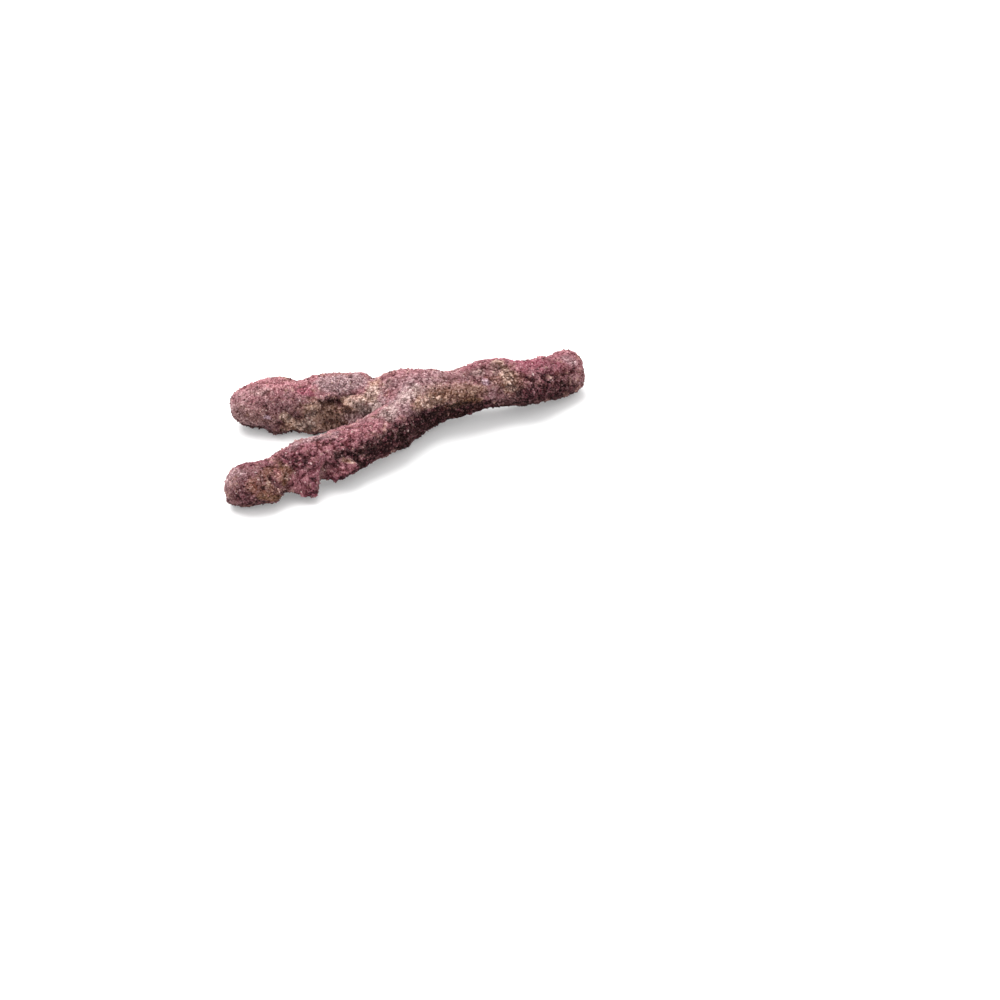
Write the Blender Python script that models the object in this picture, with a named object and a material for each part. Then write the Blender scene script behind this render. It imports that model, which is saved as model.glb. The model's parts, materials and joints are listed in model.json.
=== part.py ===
"""A branching dry reef rock: a stout stem that forks into two blunt prongs, lying on its underside.

Run it with blender --background --python part.py, or from Blender's text editor. Units are metres
and +Z is up. The origin is under the middle of the rock, on the surface that it lies on. +X runs
along the rock from the prongs to the stem's end, and +Y towards the rear prong's side.

The rock is one surface where a field of distances is zero. The field joins three tapering limbs,
adds the knobs, takes away the hollows and ripples the whole. Each limb starts as a sphere whose
two poles go to the limb's tip and to the middle of the fork, and whose other vertices are carried
out from the limb's spine to the rock's surface. The limbs part at upright planes through the fork.
"""

import math

import bmesh
import bpy
import numpy as np

MM = 0.001

# Stations along each limb's spine, from the fork outwards: x, y, height of the spine, radius, in mm.
FORK = (6, 25, 23, 19.5)
SPINES = {
    "stem": (
        FORK,
        (27, 34, 25.5, 20.5),
        (51, 44, 27, 21.5),
        (77, 52, 27, 20.5),
        (102, 62, 24, 20),
        (131, 83.5, 16, 17.5),
    ),
    "rear_prong": (
        FORK,
        (-27, 34, 23.5, 19),
        (-47, 38, 23.5, 20.5),
        (-69, 35, 23.5, 21),
        (-89, 29, 22.5, 19),
        (-107, 30, 21.5, 20),
        (-131, 31, 19.5, 17.5),
    ),
    "front_prong": (
        FORK,
        (-13, -7, 23, 20),
        (-31, -27, 22.5, 18.5),
        (-50, -39.5, 21.5, 18),
        (-69, -52.5, 21, 17.5),
        (-88, -62, 20.5, 17.5),
        (-104, -71.5, 17.5, 16.5),
        (-125, -83.5, 16, 18),
    ),
}

# The lumps that stand out of the limbs, each a run of stations: x, y, height, radius, in mm.
KNOBS = {
    "hook_of_the_front_prong": ((-85, -64, 18, 10), (-80, -71, 12, 9.5), (-75, -76, 9, 8.5)),
    "second_lump_of_the_front_prong": ((-53, -58, 15, 8.5), (-42, -56, 18, 6.2)),
    "shoulder_of_the_front_prong": ((-80, -54, 28, 10), (-66, -48, 29, 9.5)),
    "cheek_of_the_front_prong": ((-112, -88, 24, 10), (-103, -86, 14, 8)),
    "back_of_the_rear_prong_tip": ((-118, 31, 29, 12), (-106, 32, 31, 11)),
    "heel_of_the_rear_prong": ((-107, 19, 9, 8), (-94, 20, 8, 6.5), (-78, 18, 7, 7.5), (-64, 22, 10, 6)),
    "hump_of_the_rear_prong": ((-72, 37, 31.5, 12.5), (-52, 40, 31.5, 12.5)),
    "lip_of_the_rear_prong": ((-56, 24, 24, 9), (-42, 24, 26, 9)),
    "foot_of_the_rear_prong": ((-56, 22, 9, 8), (-42, 19, 11, 8.5)),
    "hump_over_the_fork": ((-9, 33, 34.5, 16.5), (8, 34, 34.5, 17), (24, 37.5, 33.5, 15.5)),
    "brow_of_the_stem": (
        (10, 18, 33, 9),
        (27, 23, 34, 9),
        (45, 26, 34.5, 9),
        (60, 33, 34, 8.5),
        (76, 40, 33, 9),
    ),
    "crest_of_the_stem": ((62, 52, 36, 13), (78, 57, 37, 12)),
    "crest_at_the_stem_end": ((112, 70, 29, 12.5), (134, 84, 24, 11.5)),
    "lobe_low_on_the_stem_end": ((125, 68, 16, 9), (117, 60, 20, 8)),
    "lobe_beside_the_crest": ((101, 47, 26, 9), (110, 54, 30, 9)),
}

# The dents and grooves, in the same form.
HOLLOWS = {
    "crease_behind_the_rear_prong": ((-32, 48, 43, 5), (-29, 33, 49, 5.5), (-31, 22, 46, 4.5), (-37, 13, 37, 4)),
    "saddle_of_the_rear_prong": ((-91, 34, 50, 8), (-90, 20, 47, 6)),
    "fissure_of_the_rear_prong": ((-74, 7, 18, 4.5), (-63, 12, 28, 5), (-56, 14, 35, 5.5), (-44, 13, 36, 4)),
    "scar_of_the_front_prong": ((-102, -64, 42, 4.5), (-99, -86, 34, 5.5), (-94, -94, 18, 6), (-91, -90, 6, 7)),
    "crevice_beside_the_hook": ((-60, -80, 6, 4.5), (-61, -71, 13, 5), (-60, -66, 23, 4.5), (-50, -66, 31, 4)),
    "pit_above_the_hook": ((-83, -77, 37, 4.5), (-78, -74, 37, 4)),
    "dip_before_the_crest": ((36, 46, 55, 8), (42, 34, 55, 6)),
    "undercut_of_the_stem": (
        (-8, -27, 11, 5),
        (3, -16, 10, 6.5),
        (22, 2, 14, 6),
        (31, 6, 15, 9.5),
        (50, 15, 16, 9),
        (72, 26, 16, 6.5),
    ),
    "crease_of_the_stem_end": ((104, 62, 50, 4.5), (112, 50, 42, 4.5), (122, 50, 33, 4.5), (138, 56, 23, 5)),
}

MIDDLE = (0.26, 0.2)  # where the middle of the rock's plan falls among the stations above, in mm
FORK_BLEND = 11 * MM  # width over which the limbs run into each other
KNOB_BLEND = 7 * MM
HOLLOW_BLEND = 6 * MM
RIPPLES = ((34, 2.0, 11), (16, 1.3, 23), (9, 0.7, 37))  # wavelength and height in mm, and seed
LOBES = (12, 1.3, 51)  # spacing and height in mm of the rounded swellings, and seed

COLUMNS = 36  # vertices round a limb, a multiple of 4
TUBE_ROWS = {"stem": 34, "rear_prong": 34, "front_prong": 37}
CAP_ROWS = 7  # rows over a limb's rounded tip
PARTING_GAP = 0.2 * MM  # how far each limb stays from the planes through the fork
FULLNESS = 0.8  # share of the field's distance that one step of the search goes
SEARCH_STEPS = 30
SUBDIVISIONS = 5  # straight stretches between two stations
SPINE_SAMPLES = 400  # places tried along a spine for the one nearest to a vertex of the parting rim
TURNING_SHARE = 0.25  # share of a limb's rows over which they turn from the parting planes' way to its own
SIDE_REACH = 50 * MM  # how far out along a limb its bearing at the fork is taken

COLOURS = {
    "stem": (0.30, 0.18, 0.19, 1),
    "rear_prong": (0.36, 0.19, 0.21, 1),
    "front_prong": (0.32, 0.15, 0.19, 1),
}
ROUGHNESS = 0.92


def smooth_path(stations):
    """A Catmull-Rom curve through the stations, radius included, in metres."""
    knots = np.array(stations, float) * MM
    knots = np.vstack([2 * knots[0] - knots[1], knots, 2 * knots[-1] - knots[-2]])
    share = np.arange(SUBDIVISIONS)[:, None] / SUBDIVISIONS
    spans = []
    for before, start, end, after in zip(knots, knots[1:], knots[2:], knots[3:]):
        spans.append(
            0.5
            * (
                2 * start
                + (end - before) * share
                + (2 * before - 5 * start + 4 * end - after) * share**2
                + (3 * start - before - 3 * end + after) * share**3
            )
        )
    return np.vstack([*spans, knots[-2:-1]])


def scattered(cell, seed):
    """A value from 0 to 1 for each whole-number place, the same every time and unlike its neighbours."""
    x, y, z = cell.T.astype(np.uint32)
    mixed = x * np.uint32(374761393) + y * np.uint32(668265263) + z * np.uint32(2246822519)
    mixed = (mixed + np.uint32(seed * 7919)) * np.uint32(3266489917)
    mixed = (mixed ^ (mixed >> np.uint32(15))) * np.uint32(2654435761)
    return (mixed ^ (mixed >> np.uint32(13))).astype(float) / 2**32


def lattice_noise(points, seed):
    """Smooth noise from -1 to 1: scattered values on whole-number places, eased between."""
    cell = np.floor(points).astype(np.int64)
    part = points - cell
    ease = part**3 * (part * (part * 6 - 15) + 10)
    total = np.zeros(len(points))
    for corner in np.ndindex(2, 2, 2):
        weight = np.prod(np.where(corner, ease, 1 - ease), axis=1)
        total += weight * scattered(cell + corner, seed)
    return 2 * total - 1


def lobe_noise(points, seed):
    """Rounded swellings from 0 to 1: a dome round the nearest of scattered centres."""
    cell = np.floor(points).astype(np.int64)
    nearest = np.full(len(points), np.inf)
    for step in np.ndindex(3, 3, 3):
        home = cell + np.array(step) - 1
        shift = np.stack([scattered(home, seed + axis) for axis in range(3)], 1)
        nearest = np.minimum(nearest, np.sum((home + shift - points) ** 2, axis=1))
    return np.clip(1 - nearest, 0, 1)


def smooth_union(first, second, width):
    """The lesser of two distances, rounded over the given width."""
    share = np.clip(0.5 + 0.5 * (second - first) / width, 0, 1)
    return second + (first - second) * share - width * share * (1 - share)


def run_distance(points, path):
    """Distance from each point to the round skin along a path whose radius varies."""
    nearest = np.full(len(points), np.inf)
    for start, end in zip(path, path[1:]):
        run = (end - start)[:3]
        share = np.clip((points - start[:3]) @ run / (run @ run), 0, 1)
        off = np.linalg.norm(points - start[:3] - share[:, None] * run, axis=1)
        nearest = np.minimum(nearest, off - start[3] - share * (end[3] - start[3]))
    return nearest


def rock_distance(points, paths):
    """The field: below zero inside the rock and above zero outside it."""
    field = None
    for path in paths.values():
        limb = run_distance(points, path)
        field = limb if field is None else smooth_union(field, limb, FORK_BLEND)
    for stations in KNOBS.values():
        knob = run_distance(points, np.array(stations) * MM)
        field = smooth_union(field, knob, KNOB_BLEND)
    for stations in HOLLOWS.values():
        hollow = run_distance(points, np.array(stations) * MM)
        field = -smooth_union(-field, hollow, HOLLOW_BLEND)
    for wavelength, height, seed in RIPPLES:
        field = field - height * MM * lattice_noise(points / (wavelength * MM), seed)
    spacing, height, seed = LOBES
    return field - height * MM * (lobe_noise(points / (spacing * MM), seed) - 0.5)


def carried_out(origins, directions, paths):
    """Where rays from inside the rock meet its surface, found by stepping as far as the field allows."""
    reach = np.zeros(len(origins))
    for _ in range(SEARCH_STEPS):
        reach -= FULLNESS * rock_distance(origins + reach[:, None] * directions, paths)
    return origins + reach[:, None] * directions


def bearings(paths):
    """The compass bearing at which each limb leaves the fork, in radians, anticlockwise."""
    found = {}
    for name, path in paths.items():
        away = np.linalg.norm(path[:, :2] - path[0, :2], axis=1)
        x, y = (np.interp(SIDE_REACH, away, path[:, axis]) - path[0, axis] for axis in (0, 1))
        found[name] = math.atan2(y, x) % math.tau
    return found


def parting_planes(paths):
    """For each limb, the half angles to its neighbours on the left and right, and its bearing."""
    found = bearings(paths)
    order = sorted(found, key=found.get)
    planes = {}
    for place, name in enumerate(order):
        left, right = order[(place + 1) % len(order)], order[place - 1]
        to_left = (found[left] - found[name]) % math.tau / 2
        to_right = (found[name] - found[right]) % math.tau / 2
        planes[name] = (to_left, to_right, found[name])
    return planes


def limb_rows(name, paths, planes):
    """The limb's vertices as rows of COLUMNS points, from its parting planes out to the cap, then the tip."""
    path = paths[name]
    along = np.r_[0, np.cumsum(np.linalg.norm(np.diff(path[:, :3], axis=0), axis=1))]
    tangents = np.gradient(path[:, :3], along, axis=0)
    turn = np.arange(COLUMNS) * math.tau / COLUMNS
    to_left, to_right, bearing = planes[name]

    def spine(distance):
        place = np.stack([np.interp(distance, along, path[:, k]) for k in range(3)], -1)
        ahead = np.stack([np.interp(distance, along, tangents[:, k]) for k in range(3)], -1)
        ahead /= np.linalg.norm(ahead, axis=-1, keepdims=True)
        left = np.cross((0, 0, 1), ahead)
        left /= np.linalg.norm(left, axis=-1, keepdims=True)
        return place, ahead, left, np.cross(ahead, left)

    on_left = np.cos(turn) > 0
    half = np.where(on_left, to_left, to_right)
    side = np.where(on_left, bearing + to_left, bearing - to_right)
    middle = path[0, :3] + mitre(to_left, to_right, bearing)
    level = np.stack([np.cos(side), np.sin(side), np.zeros(COLUMNS)], 1)
    level *= np.abs(np.cos(turn))[:, None]
    rim_way = level + np.outer(np.sin(half) * np.sin(turn), (0, 0, 1))
    rim_way /= np.linalg.norm(rim_way, axis=1, keepdims=True)
    rim = carried_out(np.repeat(middle[None], COLUMNS, 0), rim_way, paths)

    dense = np.linspace(0, along[-1], SPINE_SAMPLES)
    gaps = np.linalg.norm(rim[:, None] - spine(dense)[0][None], axis=2)
    rim_along = dense[np.argmin(gaps, axis=1)]
    leaning = rim - spine(rim_along)[0]
    leaning /= np.linalg.norm(leaning, axis=1, keepdims=True)
    origins, ways = [], []
    for row in range(1, TUBE_ROWS[name] + 1):
        share = row / TUBE_ROWS[name]
        place, _, left, up = spine(rim_along + (along[-1] - rim_along) * share)
        ring = np.cos(turn)[:, None] * left + np.sin(turn)[:, None] * up
        ease = min(share / TURNING_SHARE, 1)
        origins.append(place)
        ways.append((1 - ease) * leaning + ease * ring)
    place, ahead, left, up = spine(np.full(COLUMNS, along[-1]))
    ring = np.cos(turn)[:, None] * left + np.sin(turn)[:, None] * up
    for row in range(1, CAP_ROWS + 2):
        lift = row / (CAP_ROWS + 1) * math.pi / 2
        origins.append(place)
        ways.append(math.cos(lift) * ring + math.sin(lift) * ahead)
    ways = np.concatenate(ways)
    ways /= np.linalg.norm(ways, axis=1, keepdims=True)
    skin = carried_out(np.concatenate(origins), ways, paths).reshape(-1, COLUMNS, 3)
    rows = np.concatenate([rim[None], skin[:-1]])
    tip = skin[-1]
    return middle, rows, tip[0]


def mitre(to_left, to_right, bearing):
    """How far a limb's corner at the fork is drawn in, so that it keeps the gap to both its planes."""
    inward = [
        np.array([math.sin(bearing + to_left), -math.cos(bearing + to_left), 0]),
        np.array([-math.sin(bearing - to_right), math.cos(bearing - to_right), 0]),
    ]
    both = inward[0] + inward[1]
    return PARTING_GAP * both / (1 + inward[0] @ inward[1])


def settled(points):
    """The points with the rock's middle over the origin, and its underside worn flat where it rests."""
    points = points - np.array((*MIDDLE, 0)) * MM
    points[..., 2] = np.maximum(points[..., 2], 0)
    return points


def make_limb(name, paths, planes, collection):
    """One limb: a sphere whose rows and columns go to the limb's own, and whose poles go to its ends."""
    middle, rows, tip = map(settled, limb_rows(name, paths, planes))
    shape = bmesh.new()
    bmesh.ops.create_uvsphere(shape, u_segments=COLUMNS, v_segments=len(rows) + 1, radius=1)
    for vertex in shape.verts:
        lift = math.acos(max(-1, min(1, -vertex.co.z))) / math.pi * (len(rows) + 1)
        row = round(lift) - 1
        column = round(math.atan2(vertex.co.y, vertex.co.x) / math.tau * COLUMNS) % COLUMNS
        if row < 0:
            vertex.co = middle
        elif row == len(rows):
            vertex.co = tip
        else:
            vertex.co = rows[row, column]
    bmesh.ops.triangulate(shape, faces=shape.faces)
    mesh = bpy.data.meshes.new(name)
    shape.to_mesh(mesh)
    shape.free()
    mesh.shade_smooth()
    mesh.materials.append(make_material(name))
    limb = bpy.data.objects.new(name, mesh)
    collection.objects.link(limb)
    return limb


def make_material(name):
    """Matt crusted stone in the limb's overall colour."""
    material = bpy.data.materials.new(name)
    material.use_nodes = True
    shader = material.node_tree.nodes["Principled BSDF"]
    shader.inputs["Base Color"].default_value = COLOURS[name]
    shader.inputs["Roughness"].default_value = ROUGHNESS
    shader.inputs["Metallic"].default_value = 0
    return material


def main():
    for old in list(bpy.data.objects):
        bpy.data.objects.remove(old)
    collection = bpy.data.collections.new("dry_reef_rock")
    bpy.context.scene.collection.children.link(collection)
    paths = {name: smooth_path(stations) for name, stations in SPINES.items()}
    planes = parting_planes(paths)
    for name in SPINES:
        make_limb(name, paths, planes, collection)


main()
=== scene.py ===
"""The looks of a forked branch of dry reef rock: three crusted limbs, their separate grains and the stage.

Lengths in the tables of the rock's form are millimetres in the maker's own frame, whose x and y are MIDDLE
away from the part's. Everything that is put into a mesh is in metres in the part's frame.
"""

import json
import math

import bpy
import numpy as np
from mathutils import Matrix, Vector

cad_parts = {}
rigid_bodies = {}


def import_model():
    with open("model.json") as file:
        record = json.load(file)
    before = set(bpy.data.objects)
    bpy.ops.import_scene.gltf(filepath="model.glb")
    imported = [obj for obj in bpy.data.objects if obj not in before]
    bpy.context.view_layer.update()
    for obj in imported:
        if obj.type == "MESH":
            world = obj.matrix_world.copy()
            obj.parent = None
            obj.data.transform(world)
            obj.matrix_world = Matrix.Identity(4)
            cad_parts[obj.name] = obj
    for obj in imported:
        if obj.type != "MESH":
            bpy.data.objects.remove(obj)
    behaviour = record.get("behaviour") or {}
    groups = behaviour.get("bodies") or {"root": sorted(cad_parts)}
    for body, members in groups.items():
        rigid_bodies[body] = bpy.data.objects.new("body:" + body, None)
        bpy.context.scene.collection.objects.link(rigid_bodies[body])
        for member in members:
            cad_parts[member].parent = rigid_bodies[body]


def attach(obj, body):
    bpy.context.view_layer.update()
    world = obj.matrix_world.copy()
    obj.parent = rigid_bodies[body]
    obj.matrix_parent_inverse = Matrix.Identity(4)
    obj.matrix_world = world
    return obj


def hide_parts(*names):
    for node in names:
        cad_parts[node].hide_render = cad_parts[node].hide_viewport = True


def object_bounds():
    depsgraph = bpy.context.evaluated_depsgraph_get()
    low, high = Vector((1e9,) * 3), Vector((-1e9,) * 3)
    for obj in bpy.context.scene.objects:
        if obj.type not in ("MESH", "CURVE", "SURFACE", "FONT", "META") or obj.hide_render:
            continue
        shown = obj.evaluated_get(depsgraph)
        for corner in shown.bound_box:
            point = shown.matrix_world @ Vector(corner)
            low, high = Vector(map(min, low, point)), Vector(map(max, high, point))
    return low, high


bl_info = {
    "name": "Dry reef rock branch",
    "version": (1, 0, 0),
    "blender": (4, 5, 0),
    "location": "3D View > Sidebar > Reef rock",
    "description": "Builds a crusted, forked branch of dry reef rock and its stage",
    "category": "Add Mesh",
}

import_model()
CAD_BOX = [list(corner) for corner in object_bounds()]
MM = 0.001

# Stations along each limb's spine, from the fork outwards: x, y, height of the spine, radius.
FORK = (6, 25, 23, 19.5)
SPINES = {
    "stem": (
        FORK,
        (27, 34, 25.5, 20.5),
        (51, 44, 27, 21.5),
        (77, 52, 27, 20.5),
        (102, 62, 24, 20),
        (131, 83.5, 16, 17.5),
    ),
    "rear_prong": (
        FORK,
        (-27, 34, 23.5, 19),
        (-47, 38, 23.5, 20.5),
        (-69, 35, 23.5, 21),
        (-89, 29, 22.5, 19),
        (-107, 30, 21.5, 20),
        (-131, 31, 19.5, 17.5),
    ),
    "front_prong": (
        FORK,
        (-13, -7, 23, 20),
        (-31, -27, 22.5, 18.5),
        (-50, -39.5, 21.5, 18),
        (-69, -52.5, 21, 17.5),
        (-88, -62, 20.5, 17.5),
        (-104, -71.5, 17.5, 16.5),
        (-125, -83.5, 16, 18),
    ),
}

# The lumps that stand out of the limbs, each a run of stations: x, y, height, radius.
KNOBS = {
    "hook_of_the_front_prong": ((-85, -64, 18, 10), (-80, -71, 12, 9.5), (-75, -76, 9, 8.5)),
    "second_lump_of_the_front_prong": ((-53, -58, 15, 8.5), (-42, -56, 18, 6.2)),
    "shoulder_of_the_front_prong": ((-80, -54, 28, 10), (-66, -48, 29, 9.5)),
    "cheek_of_the_front_prong": ((-112, -88, 24, 10), (-103, -86, 14, 8)),
    "back_of_the_rear_prong_tip": ((-118, 31, 29, 12), (-106, 32, 31, 11)),
    "heel_of_the_rear_prong": ((-107, 19, 9, 8), (-94, 20, 8, 6.5), (-78, 18, 7, 7.5), (-64, 22, 10, 6)),
    "hump_of_the_rear_prong": ((-72, 37, 31.5, 12.5), (-52, 40, 31.5, 12.5)),
    "lip_of_the_rear_prong": ((-56, 24, 24, 9), (-42, 24, 26, 9)),
    "foot_of_the_rear_prong": ((-56, 22, 9, 8), (-42, 19, 11, 8.5)),
    "hump_over_the_fork": ((-9, 33, 34.5, 16.5), (8, 34, 34.5, 17), (24, 37.5, 33.5, 15.5)),
    "brow_of_the_stem": (
        (10, 18, 33, 9),
        (27, 23, 34, 9),
        (45, 26, 34.5, 9),
        (60, 33, 34, 8.5),
        (76, 40, 33, 9),
    ),
    "crest_of_the_stem": ((62, 52, 36, 13), (78, 57, 37, 12)),
    "crest_at_the_stem_end": ((112, 70, 29, 12.5), (134, 84, 24, 11.5)),
    "lobe_low_on_the_stem_end": ((125, 68, 16, 9), (117, 60, 20, 8)),
    "lobe_beside_the_crest": ((101, 47, 26, 9), (110, 54, 30, 9)),
}

# The dents and grooves, in the same form.
HOLLOWS = {
    "crease_behind_the_rear_prong": (
        (-32, 48, 43, 5), (-29, 33, 49, 5.5), (-31, 22, 46, 4.5), (-37, 13, 37, 4),
    ),
    "saddle_of_the_rear_prong": ((-91, 34, 50, 8), (-90, 20, 47, 6)),
    "fissure_of_the_rear_prong": ((-74, 7, 18, 4.5), (-63, 12, 28, 5), (-56, 14, 35, 5.5), (-44, 13, 36, 4)),
    "scar_of_the_front_prong": (
        (-102, -64, 42, 4.5), (-99, -86, 34, 5.5), (-94, -94, 18, 6), (-91, -90, 6, 7),
    ),
    "crevice_beside_the_hook": (
        (-60, -80, 6, 4.5), (-61, -71, 13, 5), (-60, -66, 23, 4.5), (-50, -66, 31, 4),
    ),
    "pit_above_the_hook": ((-83, -77, 37, 4.5), (-78, -74, 37, 4)),
    "dip_before_the_crest": ((36, 46, 55, 8), (42, 34, 55, 6)),
    "undercut_of_the_stem": (
        (-8, -27, 11, 5),
        (3, -16, 10, 6.5),
        (22, 2, 14, 6),
        (31, 6, 15, 9.5),
        (50, 15, 16, 9),
        (72, 26, 16, 6.5),
    ),
    "crease_of_the_stem_end": ((104, 62, 50, 4.5), (112, 50, 42, 4.5), (122, 50, 33, 4.5), (138, 56, 23, 5)),
}

# How the limbs, lumps and dents join into one surface, and how that surface is found.
MIDDLE = np.array((0.26, 0.2, 0))
FORK_BLEND = 11
KNOB_BLEND = 7
HOLLOW_BLEND = 6
RIPPLES = ((34, 2.0, 11), (16, 1.3, 23), (9, 0.7, 37))  # wavelength, height, seed
LOBES = (12, 1.3, 51)  # spacing, height, seed
SUBDIVISIONS = 5
SIDE_REACH = 50  # how far from the fork a limb's bearing is taken
SPINE_SAMPLES = 400
TURNING_SHARE = 0.25  # of a limb's length, in which its rays turn from the fork's lean to straight out
FULLNESS = 0.8  # of the field's distance, which each step along a ray takes
SEARCH_STEPS = 26
SLOPE_STEP = 0.4

# The grids on which the skins are solved and drawn, and where their map starts, how far it goes and its tip.
COARSE_COLUMNS = 120
COARSE_TUBE_ROWS = 130
COARSE_CAP_ROWS = 26
FINE_COLUMNS = 276
FINE_ROWS = 350
MAP_START = 0.02
MAP_SPAN = 0.96
MAP_TIP = 0.99

# The noises that vary the crust, the folds, the colours and the grains: spacing and seed.
NOISES = {
    "uneven": (6, 35),
    "pitted": (17, 58),
    "cleft": (6.5, 61),
    "broad": (15, 5),
    "wide": (23, 9),
    "ragged": (5.5, 6),
    "finely_ragged": (2.3, 7),
    "mottle": (2.6, 12),
    "fine_mottle": (1.3, 13),
    "clump": (3.8, 14),
    "fine_clump": (1.7, 15),
    "sprinkle": (1.2, 10),
    "speck": (1.1, 8),
    "strewn": (6, 21),
}

# How the crust's forms are shifted from even places: reach, spacing and seed.
DRIFTS = {"bent": (0.9, 3.1, 40), "wavy": (4, 11, 50)}

# The crust's domes: width in spacings, how rare they are, and seed.
DOMES = {"swell": (0.8, 0.3, 52), "scoop": (0.55, 0.5, 57), "lump": (0.8, 0.3, 46), "grain": (0.75, -0.1, 83)}
SCOOP_SPACING_SHARE = 0.8
PIT_SEED = 97
PIT_EDGE = (0.08, 0.36)
CALM_SHARE = 0.55

# The ragged edge of a run: share of its half width, and spacing. Then the seeds of each kind of run.
EDGE_NOISES = ((0.35, 4.5), (0.25, 1.9))
BUMP_SEED = 31
PITTED_SEED = 33
FOLD_SEED = 37
CALM_SEED = 39

# How a colour gets lighter and darker: which share of the change is the colour's own, and which its grey's.
GREY_WEIGHTS = np.array((0.2126, 0.7152, 0.0722))
LIGHT_OWN_SHARE = 0.35
DARK_OWN_SHARE = 0.8
EVEN_CHANGE = np.array((0.012, 0.005, 0.005))
DARKEST_SHARE = 0.25
BRIGHT_GROUND = 0.12
DARK_SPREAD = 1.5

# How light the crust is, and how that changes with its grains and its specks, with painted shade where it
# faces away from the top and in its hollows, and painted light out of them.
BASE_LIGHT = 0.87
GRAIN_LIGHT = 0.36
SPECK_LIGHT = 0.22
FACING_PAINTED_SHADE = 0.16
PAINTED_LIGHT_OUT_OF_HOLLOWS = 1.1
HOLLOW_PAINTED_SHADE = 0.82

# The grains that have a colour of their own: value, colour. Then those strewn on the crust: from, to, colour.
CEMENTED_COLOURS = ((0.1, "tan"), (0.3, "rose"), (0.52, "lavender"), (0.74, "plum"))
STREWN_COLOURS = ((0.05, 0.11, "tan"), (0.11, 0.20, "rose"))
STREWN_PALE = 0.012
STREWN_DARK = (0.20, 0.28)
GRAIN_POINTS = 12
GRAIN_CLEARANCE = 1.2  # least height above the floor of the crust under a grain
GRAIN_MAP = np.array(((0.2, 0.2), (0.8, 0.2), (0.5, 0.8)))

# The materials: size and depth of the specks and roughness, and then what crust and grains share.
CRUST_SPECKS = (0.0012, 0.0009, 0.78)
GRAIN_SPECKS = (0.0009, 0.0003, 0.7)
SPECK_NOISE = (0.34, 0.66)
SPECK_LIGHTS = (0.6, 1.4)
CELL_LIGHTS = (0.7, 1.3)
SPECK_OWN_SHARE = 0.55
SPECK_EVEN_CHANGE = 0.005
RELIEF_SHARE = 0.85
DOME_SHARE = 0.8
BUMP_STRENGTH = 0.8
CRUST_SHINE = 0.04

# The stage: where the main light and the camera are, and the floor's finish.
KEY_PLACE = (-1.1, 1.4, 3.6)
CAMERA_PLACE = np.array((76.3, -1621.2, 1080.1))
SENSOR_WIDTH = 36
CLIP_RANGE = (0.01, 20)
FLOOR_ROUGHNESS = 0.9
FLOOR_SHINE = 0.1

# Folds in the crust: depth, half width, how dark the painted shade in the fold is, and the run that the fold
# follows.
FOLDS = (
    (2.6, 4.2, 0.9, ((-66, 18, 28), (-60, 19, 28.5), (-55, 19.5, 29))),
    (1.8, 2.4, 0.6, ((-51, 21, 35), (-47, 22, 36), (-42, 22, 37))),
    (1.6, 2.5, 0.7, ((-72, 17, 33), (-69, 17, 29))),
    (1.6, 5.0, 0.3, ((-68, 16, 14), (-60, 15, 18), (-51, 15, 21), (-43, 15, 23), (-36, 15, 25))),
    (1.3, 2.0, 0.6, ((-51, 23, 37), (-45, 22, 37.5), (-34, 20, 36))),
    (1.4, 3.0, 0.15, (
        (-29, 45, 38), (-29, 41, 41), (-27, 34, 43), (-27, 28, 41), (-29, 20, 36), (-33, 17, 32),
    )),
    (2.4, 3.4, 0.75, ((-102, -67, 35), (-98, -75, 32), (-95, -81, 27), (-94, -83, 20), (-94, -84, 9))),
    (2.4, 2.8, 0.8, ((-105, -84, 33), (-104, -88, 30), (-102, -89, 24), (-98, -86, 19))),
    (1.8, 2.0, 0.9, ((-85, -80, 16), (-82, -80, 20), (-78, -78, 23.5), (-75, -75, 25.5))),
    (1.2, 2.4, 0.6, ((-61, -63, 25), (-62, -64, 18), (-63, -66, 12), (-63, -68, 5))),
    (1.0, 2.6, 0.5, ((-50, -58, 31), (-47, -57, 30), (-38, -56, 24.5), (-34, -56, 19))),
    (1.0, 1.8, 0.8, ((-82, -71, 34), (-80, -70, 34), (-75, -69, 33))),
    (2.0, 1.5, 1.0, ((-31.4, -31, 41), (-31, -31, 41))),
    (2.4, 5.0, 0.5, (
        (3, -8, 31), (12, 0, 29), (27, 10, 28), (43, 16, 28), (56, 21, 26.5), (68, 27, 23), (82, 32, 18),
    )),
    (1.8, 3.0, 0.8, (
        (88, 50, 44), (93, 45, 43), (98, 42.5, 40.5), (103, 41.5, 37.5), (109, 42, 33), (114, 44, 28),
    )),
    (1.6, 2.6, 0.7, ((118, 70, 40), (121, 63, 39), (119, 58, 36), (116, 54, 33))),
    (1.8, 2.6, 0.8, ((108, 40, 22), (118, 48, 30), (128, 58, 30), (138, 67, 30))),
    (1.2, 2.0, 0.6, ((-126, 12, 20), (-117, 11, 16), (-109, 11, 18))),
    (1.4, 2.6, 0.5, ((-100, 12, 14), (-97, 13, 5))),
    (1.4, 2.6, 0.5, ((-117, 14, 10), (-115, 15, 3))),
    (2.4, 3.4, 0.8, ((28, 55, 42), (40, 64, 34), (45, 66, 22))),
    (2.2, 3.0, 0.8, ((72, 74, 34), (84, 78, 24), (88, 78, 14))),
    (2.8, 4.0, 0.8, ((-52, 57, 32), (-60, 57, 24), (-72, 55, 20))),
    (2.0, 3.0, 0.7, ((-96, 47, 36), (-98, 50, 26), (-94, 49, 16))),
    (2.4, 3.4, 0.8, ((-62, -24, 30), (-70, -32, 24), (-84, -42, 20))),
    (2.0, 2.6, 0.8, ((-14, 50, 40), (-10, 52, 28))),
    (2.0, 3.0, 0.8, ((-112, -60, 26), (-120, -68, 20), (-128, -72, 14))),
)

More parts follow.
